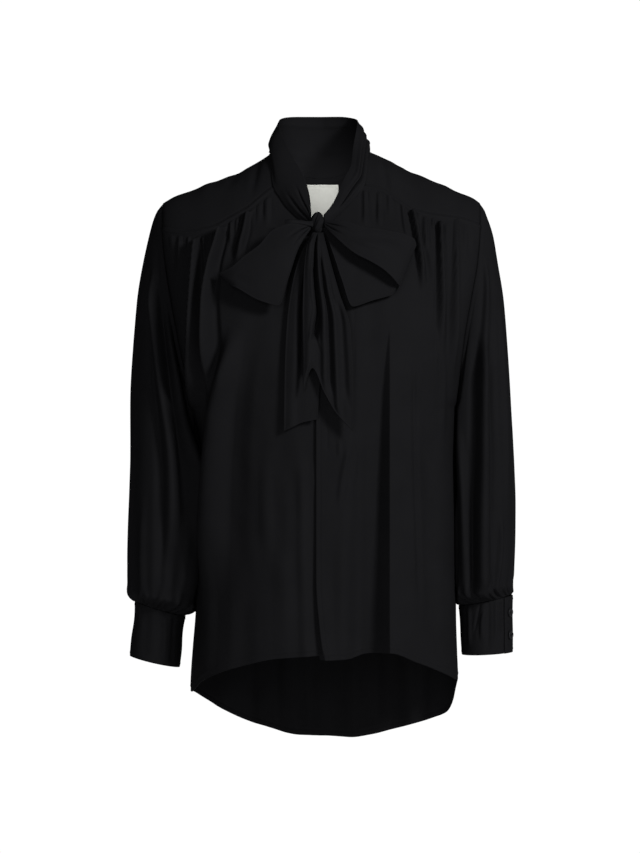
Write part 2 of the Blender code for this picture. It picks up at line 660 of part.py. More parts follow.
def sleeve(side):
    """Lines run from the armhole down to the cuff: the armhole's loop eases into an elliptical tube, then the cuff."""
    sign = -1 if side == "right" else 1
    angle, part = np.meshgrid(np.linspace(0, 2 * np.pi, SLEEVE_SIDES, endpoint=False), SLEEVE_ROWS)
    hole_x, hole_y, hole_drop = armhole(side, angle)
    end_x, end_y, end_drop = cuff_ring(side, angle, 0.0)
    end_drop = end_drop - SEAM_GAP
    drop = hole_drop + part * (end_drop - hole_drop)

    def tube(at):
        outer = table(SLEEVE_COLUMNS, SLEEVES, side, at)
        middle, half = (outer + SLEEVE_INNER) / 2, (outer - SLEEVE_INNER) / 2
        depth = table(SLEEVE_COLUMNS, SLEEVES, "half_depth", at)
        y = table(SLEEVE_COLUMNS, SLEEVES, "middle_y", at) - depth * np.sin(angle)
        return middle + half * np.cos(angle), y

    x, y = tube(drop)
    hole_tube_x, hole_tube_y = tube(hole_drop)
    near_hole = np.clip(1 - (drop - hole_drop) / ARMHOLE_EASE, 0, 1) ** 2
    seam = SLEEVE_SEAM[0] + (SLEEVE_SEAM[1] - SLEEVE_SEAM[0]) * (1 - np.cos(angle)) / 2
    x = x + (hole_x + seam - hole_tube_x) * near_hole
    y = y + (hole_y - hole_tube_y) * near_hole
    near_cuff = ease(1 - (end_drop - drop) / CUFF_EASE) ** 1.5
    x = x + (end_x - x) * near_cuff
    y = y + (end_y - y) * near_cuff

    clearance = seam + np.clip(0.3 * (drop - hole_drop), 0, SLEEVE_CLEARANCE - seam)
    x = larger(x, body_side(sign, y, drop, clearance), 4.0)
    x = np.where(part == 0, hole_x + seam, x)

    points = np.stack([sign * x, y, -drop], axis=-1)
    fold_rows = SLEEVE_RIGHT_FOLDS if side == "right" else SLEEVE_LEFT_FOLDS
    degrees = np.degrees(angle)
    round_mm = 50 * np.pi / 180
    rows = [
        (f[0] * round_mm, f[1], f[2] * round_mm, f[3], *f[4:]) for f in fold_rows
    ]
    amount = folds(SLEEVE_FOLD_COLUMNS, rows, degrees * round_mm, drop) * ease((drop - hole_drop) / 70)
    gather = np.cos(CUFF_GATHERS * angle + 0.6) * CUFF_GATHER_DEPTH
    to_cuff = end_drop - drop
    amount = amount + gather * ease(1 - to_cuff / CUFF_GATHER_LENGTH) * ease(to_cuff / 6)
    points = moved_out(points, amount * (-sign), closed=True)
    return cloth(f"sleeve_{side}", points, CLOTH, closed=True)


CUFF_SIDES = 26


def cuff_points(side, angle, part):
    """A cuff's points: the band goes once round and laps over its own start at the closure."""
    sign = -1 if side == "right" else 1
    travel = angle - math.radians(CUFF_CLOSURE[side])
    lap = CUFF_LAP * ease((travel - math.radians(360 - 1.5 * CUFF_OVERLAP)) / math.radians(1.2 * CUFF_OVERLAP))
    x, y, drop = cuff_ring(side, angle, part)
    middle_x = cuff_ring(side, math.pi / 2, part)[0]
    reach = np.hypot(x - middle_x, y - CUFF_Y)
    x = middle_x + (x - middle_x) * (1 + lap / reach)
    y = CUFF_Y + (y - CUFF_Y) * (1 + lap / reach)
    return np.stack([sign * x, y, -drop], axis=-1)


def cuff(side):
    start = CUFF_CLOSURE[side]
    turn = np.radians(np.linspace(start, start + 360 + CUFF_OVERLAP, CUFF_SIDES + 2))
    angle, part = np.meshgrid(turn, np.linspace(0.006, 1, 4))
    return cloth(f"cuff_{side}", cuff_points(side, angle, part), DOUBLE_CLOTH)


def button(side, number, share):
    """A flat round button with a rounded rim, standing on the lapped end of a cuff."""
    sign = -1 if side == "right" else 1
    at = math.radians(CUFF_CLOSURE[side] + 360 + CUFF_OVERLAP * 0.35)
    step = 0.02
    centre = cuff_points(side, np.array(at), share)
    along = cuff_points(side, np.array(at + step), share) - centre
    down = cuff_points(side, np.array(at), share + step) - centre
    out = np.cross(along, down)
    out = -sign * out / np.linalg.norm(out)
    if np.dot(out[:2], centre[:2] - np.array([sign * cuff_ring(side, math.pi / 2, share)[0], CUFF_Y])) < 0:
        out = -out
    along = along / np.linalg.norm(along)
    up = np.cross(out, along)
    profile = ((0, 0), (0.9, 0), (1, 0.25), (1, 0.7), (0.88, 1), (0.6, 0.82), (0, 0.82))
    sides = 16
    points, faces = [centre + out * (DOUBLE_CLOTH / 2 + 0.5)], []
    for radius, height in profile[1:-1]:
        for k in range(sides):
            a = 2 * np.pi * k / sides
            ring = BUTTON_RADIUS * radius * (np.cos(a) * along + np.sin(a) * up)
            points.append(centre + out * (DOUBLE_CLOTH / 2 + 0.5 + BUTTON_THICKNESS * height) + ring)
    points.append(centre + out * (DOUBLE_CLOTH / 2 + 0.5 + BUTTON_THICKNESS * profile[-1][1]))
    rings = len(profile) - 2
    for k in range(sides):
        after = (k + 1) % sides
        faces.append((0, 1 + after, 1 + k))
        for r in range(rings - 1):
            low, high = 1 + r * sides, 1 + (r + 1) * sides
            faces.append((low + k, low + after, high + after, high + k))
        last = 1 + (rings - 1) * sides
        faces.append((last + k, last + after, len(points) - 1))
    return mesh_object(f"cuff_button_{side}_{number}", points, faces, BUTTON_BLACK)


def neckline():
    """Points of the neckline, once round from the middle of the front by the wearer's right, with the direction
    that leads away from the neck along the cloth and the cloth's normal."""
    front_shares = np.linspace(0, 1, 9)
    lines = []
    for side, sign in (("right", -1), ("left", 1)):
        share = sign * YOKE_NECK_SHARE[side] * front_shares
        ahead = body_points(share, front_top(share) + 6, front_y)
        edge = body_points(share, front_top(share), front_y)
        shares, neck_from, neck_to = yoke_shares()
        columns = [neck_from, neck_from - 1] if side == "right" else [neck_to, neck_to + 1]
        top = back_yoke_curves(shares)[0][columns]
        middle, front = yoke_strip(side, top, np.array(YOKE_SEAM_PARTS[:2]))
        strip = arch(top, middle, front, np.linspace(1, 0, 8))
        first = np.concatenate([edge, strip[1:, 0]])
        second = np.concatenate([ahead, strip[1:, 1]])
        lines.append((first, second))
    top, middle, seam = back_yoke_curves(shares[neck_from + 1:neck_to])
    back_part = arch(top, middle, seam, np.array([0, 0.06]))
    first = np.concatenate([lines[0][0], back_part[0], lines[1][0][::-1]])
    second = np.concatenate([lines[0][1], back_part[1], lines[1][1][::-1]])
    away = second - first
    away /= np.linalg.norm(away, axis=-1, keepdims=True)
    along = np.gradient(first, axis=0)
    out = np.cross(along, away)
    out /= np.linalg.norm(out, axis=-1, keepdims=True)
    return first, away, out


def neck_band():
    """The standing tie band: the neckline and the table's upper edge joined by a rounded strip, open at the knot."""
    edge, away, out = neckline()
    turn = np.degrees(np.arctan2(-edge[:, 0], -edge[:, 1])) % 360
    order = np.argsort(turn)
    at = np.linspace(BAND[0][0], BAND[-1][0], 43)
    edge, away, out = (
        np.stack([np.interp(at, turn[order], field[order, k]) for k in range(3)], axis=-1)
        for field in (edge, away, out)
    )
    high = np.stack([table(BAND_COLUMNS, BAND, name, at, "turn") for name in ("x", "y", "z")], axis=-1)
    rise = (high - edge) / np.linalg.norm(high - edge, axis=-1, keepdims=True)
    flat = 1 - np.abs(np.sum(rise * out, axis=-1, keepdims=True))
    low = edge + away * BAND_LAP + out * (CLOTH / 2 + 1.0 + DOUBLE_CLOTH / 2 * flat)
    for end, turn in ((BAND_END_RIGHT, at - BAND[0][0]), (BAND_END_LEFT, BAND[-1][0] - at)):
        low = low + ease(1 - turn / BAND_END_TURN)[:, None] * (np.array(end) - low)
    across = np.linspace(0, 1, 6)
    grid = low[None] + across[:, None, None] * (high - low)[None]
    outward = grid * (1, 1, 0)
    outward /= np.linalg.norm(outward, axis=-1, keepdims=True)
    share = np.linspace(0, 1, len(at))
    amount = table(BAND_COLUMNS, BAND, "bulge", at, "turn")[None] * np.sin(np.pi * across)[:, None]
    for start, end, place, half, depth in BAND_CREASES:
        middle, reach = (start + end) / 2, (end - start) / 2
        amount = amount + depth * bump((share - middle) / reach)[None] * bump((across - place) / half)[:, None]
    return cloth("neck_band", grid + outward * amount[..., None], DOUBLE_CLOTH)


def chest(x, z, lift):
    """A point that stands lift in front of the blouse's front."""
    share = x / half_width(x, -z)
    return np.stack([x, front_y(share, -z) - lift, z], axis=-1)


def loop(side):
    """A bow loop: the tie goes out from the knot, turns at the far end and comes back behind itself."""
    rows = LOOP_RIGHT if side == "right" else LOOP_LEFT
    stations = np.linspace(0, 1, len(rows))
    at = np.linspace(0, 1, 25)
    value = {name: curve(stations, column(LOOP_COLUMNS, rows, name), at) for name in LOOP_COLUMNS}
    across = np.linspace(0, 1, 7)[:, None]
    x = value["top_x"] + across * (value["low_x"] - value["top_x"])
    z = value["top_z"] + across * (value["low_z"] - value["top_z"])
    lift = value["top_lift"] + across * (value["low_lift"] - value["top_lift"])
    fullness = 3 * np.sin(np.pi * across) * np.where(at < 0.5, np.sin(2 * np.pi * at), 0)
    return cloth(f"bow_loop_{side}", chest(x, z, lift + fullness), DOUBLE_CLOTH)


def tail(side):
    """A hanging tie end with soft lengthwise pleats and a slanting end."""
    rows, ends, pleats = (
        (TAIL_RIGHT, TAIL_RIGHT_ENDS, TAIL_RIGHT_PLEATS)
        if side == "right"
        else (TAIL_LEFT, TAIL_LEFT_ENDS, TAIL_LEFT_PLEATS)
    )
    across = np.array([0, 0.06, 0.12, 0.2, 0.27, 0.34, 0.46, 0.58, 0.7, 0.82, 0.93, 1.0])
    part = np.linspace(0, 1, 12)[:, None]
    low, high, lift = (table(TAIL_COLUMNS, rows, name, part, "share") for name in ("right_x", "left_x", "lift"))
    x = low + across * (high - low)
    top = TAIL_TOPS[side]
    z = -(top + part * (pairs(ends, across) - top))
    for place, half, height in pleats:
        lift = lift + height * bump((across - place) / half) * ease(part / 0.12)
    return cloth(f"tie_tail_{side}", chest(x, z, lift), DOUBLE_CLOTH)


def knot():
    """The wrapped knot: an upright egg of cloth with a few slanting turns."""
    rings, sides = 9, 18
    points, faces = [], []
    middle, half = np.array(KNOT_MIDDLE, float), np.array(KNOT_HALF, float)
    points.append(middle + half * (0, 0, 1))
    for r in range(1, rings):
        tilt = math.pi * r / rings
        for k in range(sides):
            turn = 2 * math.pi * k / sides
            swell = 1 + KNOT_TWIST_DEPTH * math.cos(KNOT_TWISTS * turn + 2.2 * tilt) * math.sin(tilt)
            unit = np.array([
                math.sin(tilt) * math.cos(turn) * swell,
                math.sin(tilt) * math.sin(turn) * swell,
                math.cos(tilt),
            ])
            points.append(middle + half * unit)
    points.append(middle - half * (0, 0, 1))
    for k in range(sides):
        after = (k + 1) % sides
        faces.append((0, 1 + k, 1 + after))
        for r in range(rings - 2):
            low, high = 1 + r * sides, 1 + (r + 1) * sides
            faces.append((low + k, high + k, high + after, low + after))
        last = 1 + (rings - 2) * sides
        faces.append((last + k, len(points) - 1, last + after))
    return mesh_object("bow_knot", points, faces, BLACK_CREPE)


def main():
    for old in list(bpy.data.objects):
        bpy.data.objects.remove(old)
    front_right()
    front_left()
    back()
    yoke()
    inner_label()
    neck_band()
    knot()
    for side in ("right", "left"):
        sleeve(side)
        cuff(side)
        loop(side)
        tail(side)
        for number, share in enumerate(BUTTON_SHARES, start=1):
            button(side, number, share)


main()
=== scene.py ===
"""A black crepe tie-neck blouse, filled out as if worn, dressed over its CAD frame.

Sizes are millimetres in the frame of the CAD, and MM turns them into Blender's metres.  +Z is up, the front faces -Y,
the wearer's left is +X, and a "drop" is a distance below the origin.  Each piece is a surface of two parameters,
worked out on a whole grid at once, with its folds moved in or out along its normals.
"""

import math

import bpy
import numpy as np
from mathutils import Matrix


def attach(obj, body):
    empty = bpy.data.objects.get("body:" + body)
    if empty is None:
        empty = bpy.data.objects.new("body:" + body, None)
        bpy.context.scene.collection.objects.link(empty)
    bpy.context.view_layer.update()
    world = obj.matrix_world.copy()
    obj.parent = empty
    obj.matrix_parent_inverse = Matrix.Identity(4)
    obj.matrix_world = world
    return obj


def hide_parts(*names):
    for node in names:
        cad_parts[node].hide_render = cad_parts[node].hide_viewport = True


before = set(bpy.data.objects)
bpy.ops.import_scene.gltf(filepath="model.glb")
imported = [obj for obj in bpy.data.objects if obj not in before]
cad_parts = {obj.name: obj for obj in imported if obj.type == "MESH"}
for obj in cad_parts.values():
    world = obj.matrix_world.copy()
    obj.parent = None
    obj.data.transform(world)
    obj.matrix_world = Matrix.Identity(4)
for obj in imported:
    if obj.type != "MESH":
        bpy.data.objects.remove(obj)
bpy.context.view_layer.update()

MM = 0.001
CLOTH = 0.9
DOUBLE_CLOTH = 1.3
SEAM_LAP = 3.0  # how far the fronts and the back reach under the yoke
SEAM_GAP = 0.7  # between pieces that are sewn together

# The body tube.  One row for each height: half widths on the wearer's right and left, reach to the front and back.
BODY_COLUMNS = ("drop", "right", "left", "front", "back")
BODY = (
    (-10, 209, 213, 42, 40),
    (20, 209, 213, 50, 60),
    (50, 209, 213, 60, 78),
    (75, 209, 213, 70, 88),
    (110, 208, 211, 86, 98),
    (150, 204, 207, 101, 105),
    (190, 198, 200, 112, 109),
    (250, 187, 190, 123, 109),
    (300, 176, 184, 127, 106),
    (335, 166, 181, 127, 104),
    (400, 162, 180, 125, 103),
    (500, 162, 181, 123, 104),
    (600, 165, 181, 124, 107),
    (660, 169, 182, 127, 110),
    (720, 172, 184, 128, 112),
    (810, 172, 184, 128, 112),
)
BODY_ROUNDNESS = 2.3  # exponent of the body's cross-section: 2 is an ellipse
SHOULDER_ROUNDNESS = 1.75  # the same exponent at the shoulders
SIDE_Y = 8  # the side seams, shoulder tips and armpits stand this far behind the origin

ARMHOLE_TOP = 68
ARMHOLE_BOTTOM = 338
ARMHOLE_MIDDLE = (ARMHOLE_TOP + ARMHOLE_BOTTOM) / 2
ARMHOLE_HALF = (ARMHOLE_BOTTOM - ARMHOLE_TOP) / 2
ARMHOLE_HALF_DEPTH = 46
ARMHOLE_ROUNDNESS = 2.4

# The shoulder line from the neck to the tip: distance from the middle and drop.
SHOULDER_RIGHT = ((66, 2), (78, 11), (93, 20), (113, 29), (142, 40), (173, 52), (193, 59), (209, 68))
SHOULDER_LEFT = ((64, -1), (72, 3), (86, 9), (106, 19), (133, 31), (160, 43), (186, 54), (203, 61), (213, 68))
SHOULDER_NECK_Y = 4
NECK_BACK_Y = 63  # depth of the neckline's middle at the back
NECK_ROUNDNESS = 2.2

# Top edges of the fronts: share of the half width, and drop.  The neckline comes first, then the yoke seam.
TOP_EDGE_RIGHT = ((0, 106), (0.1, 99), (0.21, 78), (0.285, 57), (0.36, 67), (0.45, 83), (0.56, 96), (0.67, 108),
                  (0.83, 114), (1, 108))
TOP_EDGE_LEFT = ((0, 106), (0.1, 92), (0.19, 72), (0.27, 54), (0.36, 57), (0.5, 76), (0.57, 85), (0.68, 91),
                 (0.88, 96), (1, 104))
YOKE_NECK_SHARE = {"right": 0.285, "left": 0.27}
BACK_SEAM = ((0, 122), (0.5, 120), (0.85, 116), (1, 118))
BACK_NECK = ((0, 30), (0.35, 27), (0.7, 16), (1, 0))  # share of the neck's half width, and drop

# Hems: share of the half width, and drop.
HEM_FRONT_RIGHT = ((0, 658), (0.35, 663), (0.53, 670), (0.74, 682), (0.9, 698), (1, 718))
HEM_FRONT_LEFT = ((0, 664), (0.2, 663), (0.33, 657), (0.49, 655), (0.7, 670), (0.89, 687), (1, 701))
HEM_BACK_RIGHT = ((0, 791), (0.24, 787), (0.45, 776), (0.64, 763), (0.82, 744), (0.93, 730), (1, 718))
HEM_BACK_LEFT = ((0, 791), (0.22, 792), (0.38, 788), (0.6, 777), (0.86, 759), (0.93, 751), (0.97, 736), (1, 701))

# The front opening: the wearer's left front laps over the right one.
OPENING_EDGE = ((95, -5), (560, -5), (620, -1), (670, 6))  # drop, and x of the left front's edge
UNDERLAP_WIDTH = 34
UNDERLAP_DEPTH = 2.9
UNDERLAP_EASE = 26
PEEK_DROP = 434
PLACKET_STITCH = 43.2  # x of the stitch line along the hidden button strip
PLACKET_TOP = 120  # drop at which that line comes out from under the bow
PLACKET_END = 392  # drop at which the strip ends, with a short bar of stitches
HEM_WIDTH = 7

# Sleeves: outer line on each side, half depth and middle depth.  The inner line is SLEEVE_INNER from the middle.
SLEEVE_COLUMNS = ("drop", "right", "left", "half_depth", "middle_y")
SLEEVES = (
    (68, 209, 213, 30, 8),
    (85, 219, 221, 38, 8),
    (110, 227, 230, 43, 9),
    (150, 236, 237, 47, 10),
    (200, 244, 245, 50, 11),
    (260, 249, 250, 53, 13),
    (335, 253, 255, 57, 17),
    (420, 254, 259, 60, 20),
    (500, 257, 259, 62, 22),
    (560, 258, 258, 60, 22),
    (585, 258, 255, 56, 22),
    (620, 254, 252, 48, 22),
)
SLEEVE_INNER = 150
SLEEVE_SEAM = (0.9, 2.7)  # sideways gap at the shoulder tip and at the armpit
SLEEVE_CLEARANCE = 4.5  # kept between sleeve and body where the arm hangs against the side
ARMHOLE_EASE = 110  # length over which the armhole's shape turns into the sleeve's tube
CUFF_EASE = 17  # length over which the sleeve is drawn in to the cuff

# Cuffs: middle x, drop, half width, half depth and slope of the top and bottom rims.
CUFF_COLUMNS = ("x", "drop", "half_width", "half_depth", "slope")
CUFF_RIGHT = ((214, 608, 34, 32, 0.30), (221, 679, 33, 31, 0.23))
CUFF_LEFT = ((221, 597, 35, 33, 0.21), (223, 668, 32.5, 31, 0.06))
CUFF_Y = 22
CUFF_HEIGHT = 71
CUFF_OVERLAP = 26  # degrees of doubled band at the closure
CUFF_CLOSURE = {"right": 262, "left": 24}  # degrees round from the outer line: one turned to the back, one to the front
CUFF_LAP = 2.4
BUTTON_RADIUS = 5.5
BUTTON_THICKNESS = 2.2
BUTTON_SHARES = (0.28, 0.68)  # heights of the two buttons as shares of the cuff

# Neck band: turn round the neck in degrees from the middle of the front by the wearer's right, the upper edge
# there, and how far the middle of the band rounds out.  Its lower edge follows the neckline.
BAND_COLUMNS = ("turn", "x", "y", "z", "bulge")
BAND = (
    (9, -11.6, -95, -92, 1),
    (17, -13, -83, -70, 4),
    (30, -19, -68, -45, 6),
    (46, -32, -49, -18, 6),
    (63, -45, -28, 8, 5),
    (80, -54, -6, 30, 5),
    (103, -54, 16, 43, 4),
    (128, -45, 40, 51, 3),
    (155, -26, 55, 54, 2),
    (180, 0, 59, 54.5, 2),
    (205, 26, 55, 54, 2),
    (231, 43, 40, 50, 3),
    (257, 50, 16, 43, 4),
    (280, 48, -6, 29, 5),
    (298, 44, -26, 5, 5),
    (313, 41, -44, -21, 4),
    (326, 31, -60, -42, 4),
    (340, 18, -76, -73, 3),
    (352, 5, -95, -92, 1),
)
BAND_END_RIGHT = (-12.9, -93, -106)  # the lower edge leaves the neckline for these points at the knot
BAND_END_LEFT = (6.2, -93, -106)
BAND_END_TURN = 12  # degrees over which it does so
BAND_LAP = 2.0  # the band's lower edge lies this far past the neckline, in front of the fronts and the yoke

# Bow and tails: two edges in the front view and how far each stands off the front of the blouse.
LOOP_COLUMNS = ("top_x", "top_z", "top_lift", "low_x", "low_z", "low_lift")
LOOP_RIGHT = (
    (-11.6, -103, 18, -12, -109, 16),
    (-36, -104, 26, -27, -136, 24),
    (-60, -112, 27, -40, -175, 23),
    (-78, -132, 27, -53, -211, 20),
    (-98, -147, 26, -78, -204, 22),
    (-114, -161, 24, -104, -189, 24),
    (-130, -168, 17, -114, -184, 19),
    (-117, -164, 11, -104, -186, 12),
    (-98, -151, 10, -78, -199, 10),
    (-78, -137, 10, -56, -203, 9),
    (-60, -120, 11, -44, -172, 10),
    (-36, -111, 12, -30, -138, 11),
    (-11.8, -106, 12, -12, -111, 11),
)
LOOP_LEFT = (
    (4.9, -99, 18, 5.5, -106, 16),
    (32, -101, 27, 22, -124, 25),
    (56, -108, 28, 45, -144, 28),
    (80, -112, 28, 64, -154, 30),
    (108, -117, 26, 83, -166, 29),
    (122, -124, 20, 97, -180, 24),
    (124, -131, 15, 101, -186, 17),
    (112, -132, 11, 95, -195, 12),
    (84, -128, 10, 67, -204, 11),
    (60, -124, 10, 42, -212, 11),
    (40, -118, 11, 28, -178, 12),
    (22, -112, 12, 17, -144, 12),
    (5.9, -104, 12, 5.6, -111, 11),
)
TAIL_COLUMNS = ("share", "right_x", "left_x", "lift")
TAIL_RIGHT = ((0, -10, -2, 7), (0.1, -24, 1, 10), (0.25, -35, 2, 9), (0.45, -42, 3, 8), (0.7, -45, 1, 8),
              (1, -46, -3, 8))
TAIL_RIGHT_ENDS = ((0, 371), (0.3, 365), (0.55, 360), (1, 356))
TAIL_LEFT = ((0, -9, 4, 13), (0.1, -17, 10, 22), (0.3, -21, 24, 20), (0.5, -22, 39, 19), (0.8, -21, 42, 18),
             (1, -21, 42, 18))
TAIL_LEFT_ENDS = ((0, 322), (0.12, 296), (0.18, 291), (0.42, 322), (0.65, 347), (1, 371))
TAIL_TOPS = {"right": 116.8, "left": 115.4}

KNOT_MIDDLE = (-3, -96, -102)
KNOT_HALF = (8.5, 8.5, 14)
KNOT_TWISTS = 3
KNOT_TWIST_DEPTH = 0.10

LABEL_HALF_WIDTH = 29
LABEL_MIDDLE_X = -4
LABEL_TOP = 37
LABEL_BOTTOM = 79
LABEL_WALL = 0.5
LABEL_GAP = 1.5  # between the label and the yoke, whose unevenness takes up some of it


# Creases: the path that each follows, as (across, drop), its half width at both ends, depth (negative goes in),
# length over which it rises and fades, and lean, which makes one side steeper (+1 the side of larger "across").
FRONT_RIGHT_CREASES = (
    (((-68.5, 66), (-68.7, 108)), 3, 4.5, -4.2, 5, 26, 0),
    (((-79, 74), (-79.5, 104)), 2.4, 3, -2.6, 5, 20, 0),
    (((-88, 80), (-89, 112)), 2.6, 3, -1.6, 5, 20, 0),
    (((-93, 84), (-97.5, 112), (-103, 134), (-110, 170)), 4.5, 7.5, -10, 6, 50, 0.2),
    (((-107, 92), (-109, 126)), 2.4, 3, -2.0, 5, 22, 0),
    (((-115.5, 97), (-116, 134)), 2.4, 3.5, -3.4, 5, 24, 0),
    (((-126, 104), (-133, 132), (-140, 158), (-146, 205), (-144.5, 370)), 3.8, 10, -20, 10, 130, -0.25),
    (((-137, 112), (-139, 146)), 2.6, 4, -3.4, 5, 26, 0),
    (((-151.5, 116), (-152, 158)), 2.4, 4, -4.2, 5, 30, 0),
    (((-159, 117), (-161, 160), (-163, 230), (-163, 390)), 3, 9.5, -17, 12, 110, -0.25),
    (((-171, 116), (-172, 146)), 2.2, 3, -2.4, 5, 24, 0),
    (((-183, 114), (-184, 172)), 2.6, 5, -3.2, 6, 40, 0),
    (((-194, 112), (-193, 138)), 2.2, 3, -1.8, 5, 20, 0),
    (((-108, 228), (-117, 270), (-127, 316), (-134, 380), (-139, 450), (-145, 600)), 16, 24, -19, 80, 120, -0.15),
    (((-148, 470), (-146, 600), (-152, 712)), 13, 18, -4, 90, 40, 0),
    (((-70, 385), (-69, 460), (-66, 560)), 11, 13, -1.8, 60, 80, 0),
    (((-42, 470), (-46, 560), (-40, 680)), 16, 22, -2.2, 90, 30, 0),
    (((-23, 380), (-21, 520), (-16, 690)), 9, 13, -3.2, 90, 1, 0),
    (((-95, 560), (-98, 640), (-100, 700)), 16, 22, 2.2, 60, 10, 0),
)
FRONT_LEFT_CREASES = (
    (((58, 56), (58.2, 108)), 2.6, 3.8, -5.2, 5, 22, 0),
    (((66, 56), (66.5, 76)), 2.2, 2.6, -1.8, 4, 12, 0),
    (((71, 57), (71.5, 78)), 2.2, 2.6, -1.8, 4, 12, 0),
    (((76.5, 58), (76.8, 108)), 2.6, 3.6, -5.2, 5, 20, 0),
    (((90, 60), (91, 96)), 3.5, 5, -1.8, 6, 24, 0),
    (((107, 72), (110, 104), (116, 128)), 3, 4, -2.0, 6, 22, 0),
    (((119, 82), (124, 106), (129, 140), (134, 196)), 3.6, 6, -12, 5, 50, -0.2),
    (((128, 86), (129, 112)), 2.2, 3, -2.4, 4, 18, 0),
    (((137, 90), (137.5, 142)), 2.6, 3.6, -4.6, 5, 26, 0),
    (((147, 92), (147.5, 112)), 2.2, 2.6, -1.6, 4, 14, 0),
    (((155, 96), (155.5, 150), (156, 288)), 3, 8, -12, 8, 100, -0.2),
    (((166, 98), (165, 126)), 2.2, 3, -1.8, 5, 20, 0),
    (((179, 92), (176.5, 136), (175, 200), (170, 322)), 2.8, 7.5, -9, 6, 90, 0),
    (((190, 98), (190, 150)), 2.4, 4, -2.6, 6, 36, 0),
    (((200, 102), (199, 140)), 2.4, 3.2, -1.8, 6, 26, 0),
    (((161, 268), (160, 330), (158, 400)), 4, 7, -2.4, 30, 70, 0),
    (((149, 232), (148.5, 268), (149, 300)), 3.5, 4.5, -1.8, 16, 26, 0),
    (((121, 262), (122, 400), (127, 560), (128, 640)), 4.5, 6.5, 2.3, 60, 110, 0),
    (((139, 330), (141, 470), (144, 660)), 12, 18, 2.0, 120, 60, 0),
    (((54, 300), (50, 460), (48, 690)), 10, 15, 3.2, 150, 1, 0),
    (((30, 470), (30, 600), (34, 690)), 12, 15, -2.0, 120, 1, 0),
    (((25.4, 380), (25.6, 408)), 3.4, 3.2, -1.9, 8, 14, 0),
    (((38, 390), (33, 412), (29.7, 428), (24.5, 472)), 4.2, 3.4, -2.3, 14, 30, 0.2),
    (((47, 392), (45, 420), (41, 446)), 3, 3, -1.0, 12, 18, 0),
)
BACK_CREASES = (
    (((-178, 117), (-172, 300)), 3, 9, -5.5, 6, 110, 0),
    (((-166, 117), (-166, 150)), 2.4, 3, -3, 5, 24, 0),
    (((-152, 117), (-150, 220), (-146, 270)), 3, 8, -5.5, 6, 100, 0),
    (((-139, 118), (-140, 160)), 2.6, 4, -3.4, 5, 30, 0),
    (((-128, 118), (-130, 330)), 3.4, 10, -7, 6, 140, 0.2),
    (((-115, 118), (-116, 166)), 2.6, 4, -3, 5, 34, 0),
    (((-104, 119), (-102, 240)), 3, 7, -5, 6, 80, 0),
    (((-90, 120), (-92, 158)), 2.4, 3.4, -3, 5, 24, 0),
    (((-80, 120), (-82, 250), (-86, 420)), 3.4, 12, -8, 6, 200, -0.2),
    (((-68, 121), (-67, 164)), 2.6, 4, -3, 5, 30, 0),
    (((-56, 121), (-55, 250)), 3, 8, -5.5, 6, 80, 0),
    (((-44, 121), (-44, 158)), 2.4, 3.2, -2.6, 5, 24, 0),
    (((-32, 122), (-30, 300)), 3.2, 9, -6.5, 6, 120, 0),
    (((-19, 122), (-20, 172)), 2.6, 4, -3.2, 5, 34, 0),
    (((-8, 122), (-6, 230)), 3, 7, -5, 6, 70, 0),
    (((4, 122), (5, 160)), 2.4, 3.4, -2.6, 5, 24, 0),
    (((16, 122), (17, 280)), 3.2, 8, -6, 6, 90, 0),
    (((28, 122), (28, 166)), 2.6, 4, -3, 5, 30, 0),
    (((40, 121), (42, 240), (46, 380)), 3.4, 11, -8, 6, 170, 0.2),
    (((53, 121), (52, 162)), 2.4, 3.6, -2.8, 5, 26, 0),
    (((64, 121), (66, 246)), 3, 8, -5.5, 6, 80, 0),
    (((77, 120), (78, 168)), 2.6, 4, -3, 5, 32, 0),
    (((88, 120), (92, 310)), 3.2, 9, -6.5, 6, 120, 0),
    (((101, 119), (101, 156)), 2.4, 3.2, -2.6, 5, 22, 0),
    (((112, 118), (114, 246)), 3, 8, -5, 6, 80, 0),
    (((125, 118), (125, 164)), 2.6, 4, -3, 5, 30, 0),
    (((136, 117), (140, 330)), 3.4, 10, -7, 6, 130, 0),
    (((149, 117), (149, 158)), 2.4, 3.2, -2.6, 5, 24, 0),
    (((160, 117), (162, 252)), 3, 8, -5.5, 6, 90, 0),
    (((172, 117), (171, 150)), 2.4, 3, -2.6, 5, 22, 0),
    (((184, 117), (180, 280)), 3, 8, -5, 6, 100, 0),
    (((-66, 380), (-64, 560), (-62, 830)), 15, 25, -9, 160, 1, 0.3),
    (((-36, 420), (-34, 600), (-30, 830)), 12, 18, 4, 160, 1, 0),
    (((4, 430), (6, 600), (8, 830)), 17, 27, -6.5, 150, 1, -0.2),
    (((44, 400), (46, 600), (50, 830)), 13, 20, 4, 160, 1, 0),
    (((84, 360), (90, 560), (96, 830)), 15, 25, -9, 160, 1, -0.3),
    (((-128, 420), (-130, 600), (-132, 830)), 13, 20, -5.5, 120, 1, 0),
    (((136, 470), (138, 620), (140, 830)), 12, 18, -4.5, 120, 1, 0),
    (((-98, 460), (-96, 640), (-98, 830)), 12, 16, 3, 120, 1, 0),
)

